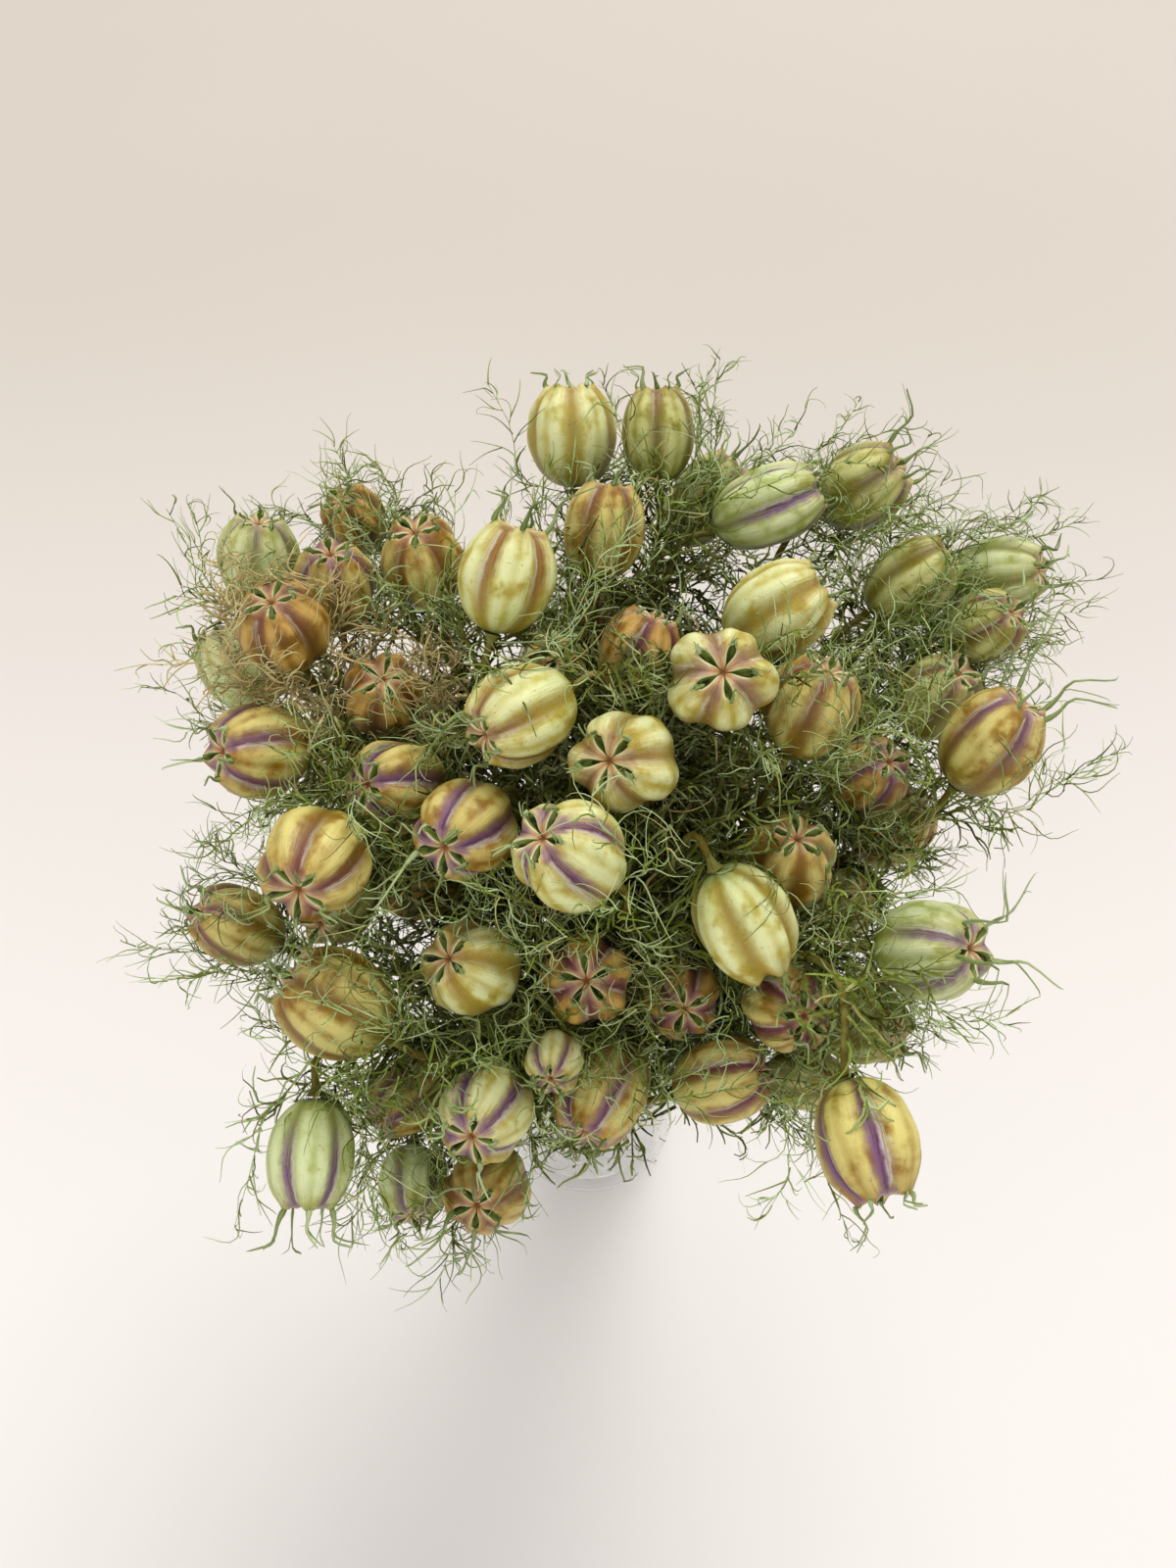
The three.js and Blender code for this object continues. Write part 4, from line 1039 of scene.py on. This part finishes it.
def side_colour(tree, at, wall, ink):
    """The sides: inked seams with a papery band beside each, fine brown veins, freckles and a green foot."""
    widening = add_node(tree, "ShaderNodeMath", {0: at.rise, 1: 0.25, 2: at.across},
                        operation="MULTIPLY_ADD").outputs[0]
    return painted(
        tree, wall,
        (ink, 1.0, (at.band, -1.2, -0.4), (at.band, 0.75, 0.15), (widening, 0.5, 0.7),
         (at.lasting, 0.6, 2.1)),
        (solid("#dedad2"), 0.65, (at.band, 0.1, 0.55), (at.band, 1.0, 0.5), (at.streak, 0.3, 0.65),
         (at.across, 0.4, 0.52), (at.lasting, 0.6, 2.1), (at.rise, 1.1, 0.8), (at.seam, 0.1, 0.6)),
        (solid("#5e3a22"), 0.4, (at.veins, 0.55, 0.72), (at.across, 0.55, 0.8), (at.streak, 0.35, 0.6)),
        (solid("#7c4c26"), 0.35, (at.freckle, 0.7, 0.76)),
        (solid("#6f8440"), 0.8, (at.rise, -0.86, -1.0)))


def crown_colour(tree, at, side, ink):
    """The crown: peach arms with a rusty middle, between slits with pale torn lips, an olive lining and
    near-black painted shade deep inside some of them.
    """
    lining = painted(tree, solid("#59651f"), (solid("#7c8a38"), 1.0, (at.cloud, 0.35, 0.6)))
    return painted(
        tree, side,
        (solid("#d0b488"), 0.55, (at.rise, 1.0, 1.35), (at.across, 0.2, 0.5)),
        (ink, 0.7, (at.across, 0.35, 0.65), (at.rise, 0.85, 1.05), (at.rise, 1.75, 1.35)),
        (solid("#b67038"), 0.7, (at.rise, 1.5, 1.9)),
        (solid("#6e4016"), 0.85, (at.rise, 1.8, 1.97)),
        (solid("#84402c"), 0.6, (at.across, 0.94, 0.99), (at.rise, 1.2, 1.6)),
        (solid("#8c9a58"), 0.8, (at.rise, 0.86, 0.98), (at.rise, 1.2, 1.08), (at.across, 0.16, 0.04)),
        (solid("#d9dcb8"), 0.8, (at.slit, -0.026, -0.012), (at.rise, 1.0, 1.06), (at.rise, 1.9, 1.75)),
        (lining, 1.0, (at.slit, -0.005, 0.001), (at.rise, 1.0, 1.04)),
        # Painted shade: near-black deep inside some of the slits.
        (solid("#15180a"), 0.9, (at.slit, 0.012, 0.045), (at.wander, 0.42, 0.55)))


def dried_capsule(name, pale, mid, deep):
    """Papery seed-pod wall, dried on the plant."""
    material, tree, where = new_material(name)
    at = capsule_fields(tree, where)
    wall = wall_colour(tree, at, pale, mid, deep)
    ink = seam_colour(tree, at, wall)
    colour = crown_colour(tree, at, side_colour(tree, at, wall, ink), ink)

    # A thin dry skin over ribs: a satin sheen that comes and goes in clouds, and fine pleats along the seams.
    height = at.grain
    for value, factor in ((at.veins, 0.8), (at.streak, 3.5)):
        height = add_node(tree, "ShaderNodeMath", {0: value, 1: factor, 2: height},
                          operation="MULTIPLY_ADD").outputs[0]
    bump = add_node(tree, "ShaderNodeBump", {"Strength": 0.3, "Distance": 0.0004, "Height": height})
    satin = add_node(tree, "ShaderNodeMapRange", {"Value": at.cloud, "To Min": 0.3, "To Max": 0.46})
    shader = add_node(tree, "ShaderNodeBsdfPrincipled", {
        "Base Color": colour, "Roughness": satin.outputs[0], "IOR": 1.45, "Specular IOR Level": 0.4,
        "Normal": bump.outputs[0]})
    add_node(tree, "ShaderNodeOutputMaterial", {"Surface": shader.outputs["BSDF"]})
    return material


def dried_strand(name, pale, mid, deep, dry):
    """Wiry dried leaf, thread, horn or stem: paler towards its tip, and straw where it has dried out."""
    material, tree, where = new_material(name)
    along, shade, dryness = marks_of(tree, "place")

    # The grain stands for lengthwise fibres of a few hundredths of a mm, drawn at 0.4 mm so that it shows.
    cloud, grain = (
        add_node(tree, "ShaderNodeTexNoise", {"Vector": where, "Scale": per_metre(size)}).outputs["Fac"]
        for size in (4.0, 0.4))
    colour = painted(tree, deep,
                     (mid, 1.0, (shade, 0.05, 0.5)),
                     (pale, 1.0, (shade, 0.5, 1.0)),
                     (pale, 0.6, (cloud, 0.4, 0.7), (along, 0.0, 1.0)),
                     (deep, 0.3, (grain, 0.55, 0.75)))
    straw = painted(tree, colour, (dry, 0.95, (cloud, 0.2, 0.6)))
    colour = painted(tree, colour, (straw, 1.0, (dryness, 0.0, 1.0)))

    # Dry plant fibre is matt, and its sheen is weak.
    bump = add_node(tree, "ShaderNodeBump", {"Strength": 0.3, "Distance": 0.0001, "Height": grain})
    shader = add_node(tree, "ShaderNodeBsdfPrincipled", {
        "Base Color": colour, "Roughness": 0.6, "IOR": 1.4, "Specular IOR Level": 0.2,
        "Normal": bump.outputs[0]})
    add_node(tree, "ShaderNodeOutputMaterial", {"Surface": shader.outputs["BSDF"]})
    return material


def pressed_glass(name, tint):
    """Clear soda-lime vase glass, pressed in a mould."""
    material, tree, where = new_material(name)

    # Pressed glass is smooth, with a faint waviness a few cm across that bends what stands behind it.
    wave = add_node(tree, "ShaderNodeTexNoise", {
        "Vector": where, "Scale": per_metre(25.0), "Detail": 1.0}).outputs["Fac"]
    bump = add_node(tree, "ShaderNodeBump", {"Strength": 0.15, "Distance": 0.001, "Height": wave})
    film = add_node(tree, "ShaderNodeMapRange", {"Value": wave, "To Min": 0.0, "To Max": 0.03})
    shader = add_node(tree, "ShaderNodeBsdfPrincipled", {
        "Base Color": tint, "Roughness": film.outputs[0], "IOR": 1.5, "Transmission Weight": 1.0,
        "Alpha": 0.18, "Normal": bump.outputs[0]})
    add_node(tree, "ShaderNodeOutputMaterial", {"Surface": shader.outputs["BSDF"]})
    return material


def painted_board(name, colour, shade):
    """Matt painted board under the vase."""
    material, tree, where = new_material(name)

    # Roller paint: an even, pale, matt face with a faint stipple. Further away it is painted darker and
    # warmer, a little unevenly: painted shade for the light falling off there.
    cloud, stipple = (
        add_node(tree, "ShaderNodeTexNoise", {
            "Vector": where, "Scale": per_metre(size), "Detail": detail}).outputs["Fac"]
        for size, detail in ((400.0, 1.0), (1.5, 2.0)))
    ahead = add_node(tree, "ShaderNodeSeparateXYZ", {0: where}).outputs["Y"]
    face = painted(tree, colour, (shade, 1.0, (ahead, -0.15, 0.6), (cloud, -1.0, 0.5)))
    bump = add_node(tree, "ShaderNodeBump", {"Strength": 0.05, "Distance": 0.0002, "Height": stipple})
    shader = add_node(tree, "ShaderNodeBsdfPrincipled", {
        "Base Color": face, "Roughness": 0.7, "IOR": 1.45, "Normal": bump.outputs[0]})
    add_node(tree, "ShaderNodeOutputMaterial", {"Surface": shader.outputs["BSDF"]})
    return material


# Sizes and colours that a user would change.
class BouquetSizes(PropertyGroup):
    lace_reach: FloatProperty(
        name="Lace reach", description="How far side threads reach from a bract's midrib, in mm",
        default=14.0, min=2.0, max=24.0)
    lace_radius: FloatProperty(
        name="Lace radius", description="Radius of a thread at its foot, in mm",
        default=0.25, min=0.1, max=0.6)
    stem_radius: FloatProperty(
        name="Stem radius", description="Radius of a stem, in mm", default=1.0, min=0.5, max=2.0)
    vase_radius: FloatProperty(
        name="Vase radius", description="Outer radius of the vase", default=0.037,
        unit="LENGTH", subtype="DISTANCE")
    vase_wall: FloatProperty(
        name="Vase wall", description="Thickness of the vase's wall", default=0.003,
        unit="LENGTH", subtype="DISTANCE")
    vase_height: FloatProperty(
        name="Vase height", description="Height of the vase", default=0.18,
        unit="LENGTH", subtype="DISTANCE")
    vase_floor: FloatProperty(
        name="Vase base", description="Thickness of the vase's base", default=0.011,
        unit="LENGTH", subtype="DISTANCE")
    vase_sides: IntProperty(
        name="Vase sides", description="Steps around the vase", default=128, min=24, max=256)


def tone_property(label, description, code):
    """A colour that a user would change."""
    return FloatVectorProperty(name=label, description=description, subtype="COLOR", size=3,
                               min=0.0, max=1.0, default=linear(code))


# Each capsule tone's lit-side colour is also its painted highlight, and its hollows colour is its painted
# shade in hollows, creases and on faces turned down. Both also make random patches of tone.
class BouquetColours(PropertyGroup):
    cream_pale: tone_property("Cream, lit side", "Raised faces of the palest capsules", "#dfe4aa")
    cream_mid: tone_property("Cream", "Body of the palest capsules", "#b8ac40")
    cream_deep: tone_property("Cream, hollows", "Hollows of the palest capsules", "#8e6e10")
    ochre_pale: tone_property("Ochre, lit side", "Raised faces of the golden capsules", "#d3c878")
    ochre_mid: tone_property("Ochre", "Body of the golden capsules", "#987208")
    ochre_deep: tone_property("Ochre, hollows", "Hollows of the golden capsules", "#5e3a00")
    olive_pale: tone_property("Olive, lit side", "Raised faces of the olive capsules", "#cccc88")
    olive_mid: tone_property("Olive", "Body of the olive capsules", "#908c20")
    olive_deep: tone_property("Olive, hollows", "Hollows of the olive capsules", "#5e4c04")
    green_pale: tone_property("Green, lit side", "Raised faces of the green capsules", "#d0d9a6")
    green_mid: tone_property("Green", "Body of the green capsules", "#a4b05a")
    green_deep: tone_property("Green, hollows", "Hollows of the green capsules", "#7a801e")
    brown_pale: tone_property("Brown, lit side", "Raised faces of the brown capsules", "#d6b05e")
    brown_mid: tone_property("Brown", "Body of the brown capsules", "#8c6412")
    brown_deep: tone_property("Brown, hollows", "Hollows of the brown capsules", "#4e2c00")
    lace_pale: tone_property("Lace, pale", "Palest threads", "#b4ca92")
    lace_mid: tone_property("Lace", "Most threads", "#76862c")
    lace_deep: tone_property("Lace, deep", "Darkest threads", "#3c3e04")
    lace_dry: tone_property("Lace, dry", "Threads that have turned to straw", "#d4b884")
    horn: tone_property("Horns", "Green prongs on the capsules", "#7c8c50")
    stem: tone_property("Stems", "Stems", "#665a1c")
    glass: tone_property("Glass", "Tint of the vase", "#fbfefd")
    board: tone_property("Board", "Surface under the vase", "#dedbd9")


def make_finishes(colours):
    """One capsule finish for each tone, and the finishes of the horns, threads and stems, in that order."""
    capsules = {}
    for tone in ("cream", "ochre", "olive", "green", "brown"):
        shades = [rgba(getattr(colours, f"{tone}_{depth}")) for depth in ("pale", "mid", "deep")]
        capsules[tone] = dried_capsule(f"dried_capsule_{tone}", *shades)
    lace = [rgba(getattr(colours, f"lace_{depth}")) for depth in ("pale", "mid", "deep", "dry")]
    straw = lace[3]
    horn = dried_strand("dried_horn", solid("#aebc8c"), rgba(colours.horn), solid("#4c5c2c"), straw)
    thread = dried_strand("dried_thread", *lace)
    stem = dried_strand("dried_stem", solid("#8f9450"), rgba(colours.stem), solid("#463a10"), straw)
    return capsules, [horn, thread, stem]


def grow_heads():
    """Each head's capsule, stem, horns and thread bracts, placed by the rules that placed the solids."""
    pods = [Pod(head, number) for number, head in enumerate(HEADS)]
    settle_pods(pods)
    stems = bend_clear([stem_course(pod) for pod in pods], pods)
    placed = Placed()
    for pod, stem in zip(pods, stems):
        placed.add(np.array(pod.rod()), pod.wide / 2, pod.number, "pod")
        placed.add(stem, STEM_RADIUS, pod.number, "stem")
    horns = [grow_horns(pod, placed) for pod in pods]
    bracts = [grow_bracts(pod, stem, placed) for pod, stem in zip(pods, stems)]
    return pods, stems, horns, bracts


def dress_head(pods, pod, stem, horns, bracts, sizes):
    """The skin of one head: its capsule, horns, thread bracts, stem leaves and stem, drawn in that order."""
    random = np.random.default_rng(SEED + pod.number)
    straw = pod.head.straw
    skin = Skin()
    rings, marks, looks = capsule_rings(pod, random)
    skin.add_grid(rings, CAPSULE, marks, looks)

    rods, radii = horn_rods(pod, horns, random)
    shades = random.uniform(0.2, 0.9, len(rods))
    prongs = tubes(rods, radii, HORN_SIDES, HORN_FLAT)
    skin.add_grid(prongs, HORN, strand_marks(rods, shades, np.zeros(len(rods))))

    rods = inside_box(pushed_out(lace(pod, bracts, sizes.lace_reach, random), pods))
    radii = np.linspace(1.0, 0.3, LACE_STEPS) * sizes.lace_radius * random.uniform(0.7, 1.1, (len(rods), 1))
    radii = radii * between(1.0, 1.3, straw)
    shades = random.uniform(0.15, 1.05, len(rods))
    dry = np.maximum(straw, random.uniform(-1.6, 0.55, len(rods)))
    skin.add_grid(tubes(rods, radii, LACE_SIDES), THREAD, strand_marks(rods, shades, dry))

    # Leaves are broader the deeper they are in the bunch. Their colour is painted shade, darker the deeper
    # they are and the nearer the bunch's middle, and painted light, paler towards its rim.
    rods, depths = stem_leaves(pod, stem, sizes.lace_reach, random)
    rods = inside_box(pushed_out(rods, pods))
    radii = np.linspace(1.3, 0.5, LEAF_STEPS) * sizes.lace_radius * (1.0 + 1.2 * depths[:, None])
    outer = smooth_step(np.linalg.norm((rods[:, 0] - BUNCH_MIDDLE)[:, :2], axis=1), 35, 115)
    shades = random.uniform(0.0, 1.0, len(rods)) * (0.3 + 0.6 * outer) * (1 - 0.6 * depths)
    dry = np.maximum(straw, random.uniform(-1.6, 0.4, len(rods)))
    skin.add_grid(tubes(rods, radii, LEAF_SIDES), THREAD, strand_marks(rods, shades, dry))

    course = eased(smoothed(stem, STEM_STEPS), 3)[None]
    radii = np.full((1, STEM_STEPS), sizes.stem_radius)
    radii[0, -3:] *= (1.1, 1.5, 2.4)
    skin.add_grid(tubes(course, radii, STEM_SIDES), STEM, strand_marks(course, np.array([0.5]), np.zeros(1)))
    return skin


class NIGELLA_OT_heads(Operator):
    """Adds every head: its capsule, horns, thread bracts, leaves and stem."""
    bl_idname = "nigella.heads"
    bl_label = "Seed heads"

    def execute(self, context):
        capsules, strands = make_finishes(context.scene.bouquet_colours)
        pods, stems, horns, bracts = grow_heads()
        for pod, stem, own_horns, own_bracts in zip(pods, stems, horns, bracts):
            skin = dress_head(pods, pod, stem, own_horns, own_bracts, context.scene.bouquet_sizes)
            piece = skin.to_object(f"nigella_{pod.number + 1:02d}", [capsules[pod.head.tone], *strands])
            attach(piece, "root")
            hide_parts(f"head_{pod.number + 1:02d}")
        return {"FINISHED"}


# The vase's rounded foot and the rounded bottom of its well: steps in from the wall and up, in mm. The middle
# is closed down to a pinhole.
VASE_FOOT = ((6.0, 0.0), (2.0, 0.25), (0.6, 1.0), (0.0, 2.6), (0.0, 6.0))
VASE_WELL = ((0.0, 7.0), (0.7, 3.2), (3.0, 1.0), (9.0, 0.0))
VASE_MIDDLE = 0.02


class NIGELLA_OT_vase(Operator):
    """Adds the clear glass vase that holds the stems."""
    bl_idname = "nigella.vase"
    bl_label = "Glass vase"

    def execute(self, context):
        sizes = context.scene.bouquet_sizes
        radius, wall = sizes.vase_radius / MM, sizes.vase_wall / MM
        height, floor = sizes.vase_height / MM, sizes.vase_floor / MM
        inner = radius - wall
        lip = wall / 2
        arc = np.linspace(0, math.pi, 7)
        profile = [(VASE_MIDDLE, 0.0)]
        profile += [(radius - step, up) for step, up in VASE_FOOT]
        profile += [(radius, height / 2), (radius, height - lip)]
        profile += [(radius - lip + lip * math.cos(turn), height - lip + lip * math.sin(turn))
                    for turn in arc[1:-1]]
        profile += [(inner, height - lip), (inner, height / 2)]
        profile += [(inner - step, floor + up) for step, up in VASE_WELL]
        profile += [(VASE_MIDDLE, floor)]
        turns = 2 * math.pi * np.arange(sizes.vase_sides) / sizes.vase_sides
        rows = np.array(profile)
        rings = np.stack([rows[:, :1] * np.cos(turns), rows[:, :1] * np.sin(turns),
                          np.broadcast_to(rows[:, 1:], (len(rows), len(turns)))], axis=-1)[None]
        skin = Skin()
        skin.add_grid(rings, 0)
        glass = pressed_glass("pressed_glass", rgba(context.scene.bouquet_colours.glass))
        piece = skin.to_object("vase_glass_shell", [glass])
        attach(piece, "root")
        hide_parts("vase")
        return {"FINISHED"}


# The stage in metres and watts. Each lamp: name, place, size, energy and colour. The window stands behind the
# bunch, where the photograph's light comes from, and the bounce in front fills its shadows.
SENSOR_WIDTH = 36.0
NEAREST_SEEN = 0.01
BOARD_REACH = 40.0
# The darker, warmer colour that the board is painted towards the back, as painted shade.
BOARD_FAR = "#bbb4ab"
ROOM_COLOUR = "#fdf9f5"
ROOM_LIGHT = 0.77
LAMP_AIM = (0, 0, 0.2)
LAMPS = (
    ("window", (0.9, 2.85, 3.65), 2.7, 158.0, "#fffdfa"),
    ("bounce", (-1.2, -2.4, 2.0), 2.8, 30.0, "#fdfbff"),
)


class NIGELLA_OT_stage(Operator):
    """Adds the camera, the pale board and the soft lights."""
    bl_idname = "nigella.stage"
    bl_label = "Stage"

    def execute(self, context):
        scene = context.scene
        lens = bpy.data.cameras.new("photo_camera")
        lens.sensor_width = SENSOR_WIDTH
        lens.lens = FOCAL / VIEW_HEIGHT * lens.sensor_width
        lens.clip_start = NEAREST_SEEN
        camera = bpy.data.objects.new("photo_camera", lens)
        camera.location = EYE * MM
        camera.rotation_euler = (math.pi / 2 - LOOK_DOWN, 0.0, 0.0)
        scene.collection.objects.link(camera)
        scene.camera = camera
        scene.view_settings.view_transform = "Standard"

        mesh = bpy.data.meshes.new("board")
        corners = [(side * BOARD_REACH, ahead * BOARD_REACH, 0)
                   for side, ahead in ((-1, -1), (1, -1), (1, 1), (-1, 1))]
        mesh.from_pydata(corners, [], [(0, 1, 2, 3)])
        face = rgba(scene.bouquet_colours.board)
        mesh.materials.append(painted_board("painted_board", face, solid(BOARD_FAR)))
        board = bpy.data.objects.new("board", mesh)
        scene.collection.objects.link(board)

        world = bpy.data.worlds.new("soft_room")
        world.use_nodes = True
        room = world.node_tree.nodes["Background"]
        room.inputs["Color"].default_value = solid(ROOM_COLOUR)
        room.inputs["Strength"].default_value = ROOM_LIGHT
        scene.world = world
        for name, place, size, energy, colour in LAMPS:
            lamp = bpy.data.lights.new(name, "AREA")
            lamp.shape = "DISK"
            lamp.size = size
            lamp.energy = energy
            lamp.color = linear(colour)
            light = bpy.data.objects.new(name, lamp)
            light.location = place
            aim = mathutils.Vector(LAMP_AIM) - light.location
            light.rotation_euler = aim.to_track_quat("-Z", "Y").to_euler()
            scene.collection.objects.link(light)
        return {"FINISHED"}


class NIGELLA_PT_bouquet(Panel):
    """Lists the bouquet's pieces, sizes and colours."""
    bl_idname = "NIGELLA_PT_bouquet"
    bl_label = "Nigella bouquet"
    bl_space_type = "VIEW_3D"
    bl_region_type = "UI"
    bl_category = "Nigella"

    def draw(self, context):
        for kind in OPERATORS:
            self.layout.operator(kind.bl_idname)
        for group in (context.scene.bouquet_sizes, context.scene.bouquet_colours):
            for label in group.__annotations__:
                self.layout.prop(group, label)


OPERATORS = (NIGELLA_OT_stage, NIGELLA_OT_vase, NIGELLA_OT_heads)
CLASSES = (BouquetSizes, BouquetColours, *OPERATORS, NIGELLA_PT_bouquet)


def register():
    for kind in CLASSES:
        bpy.utils.register_class(kind)
    bpy.types.Scene.bouquet_sizes = PointerProperty(type=BouquetSizes)
    bpy.types.Scene.bouquet_colours = PointerProperty(type=BouquetColours)


def unregister():
    del bpy.types.Scene.bouquet_colours
    del bpy.types.Scene.bouquet_sizes
    for kind in reversed(CLASSES):
        bpy.utils.unregister_class(kind)


def main():
    register()
    bpy.ops.nigella.stage()
    bpy.ops.nigella.vase()
    bpy.ops.nigella.heads()
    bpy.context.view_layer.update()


if __name__ == "__main__":
    main()
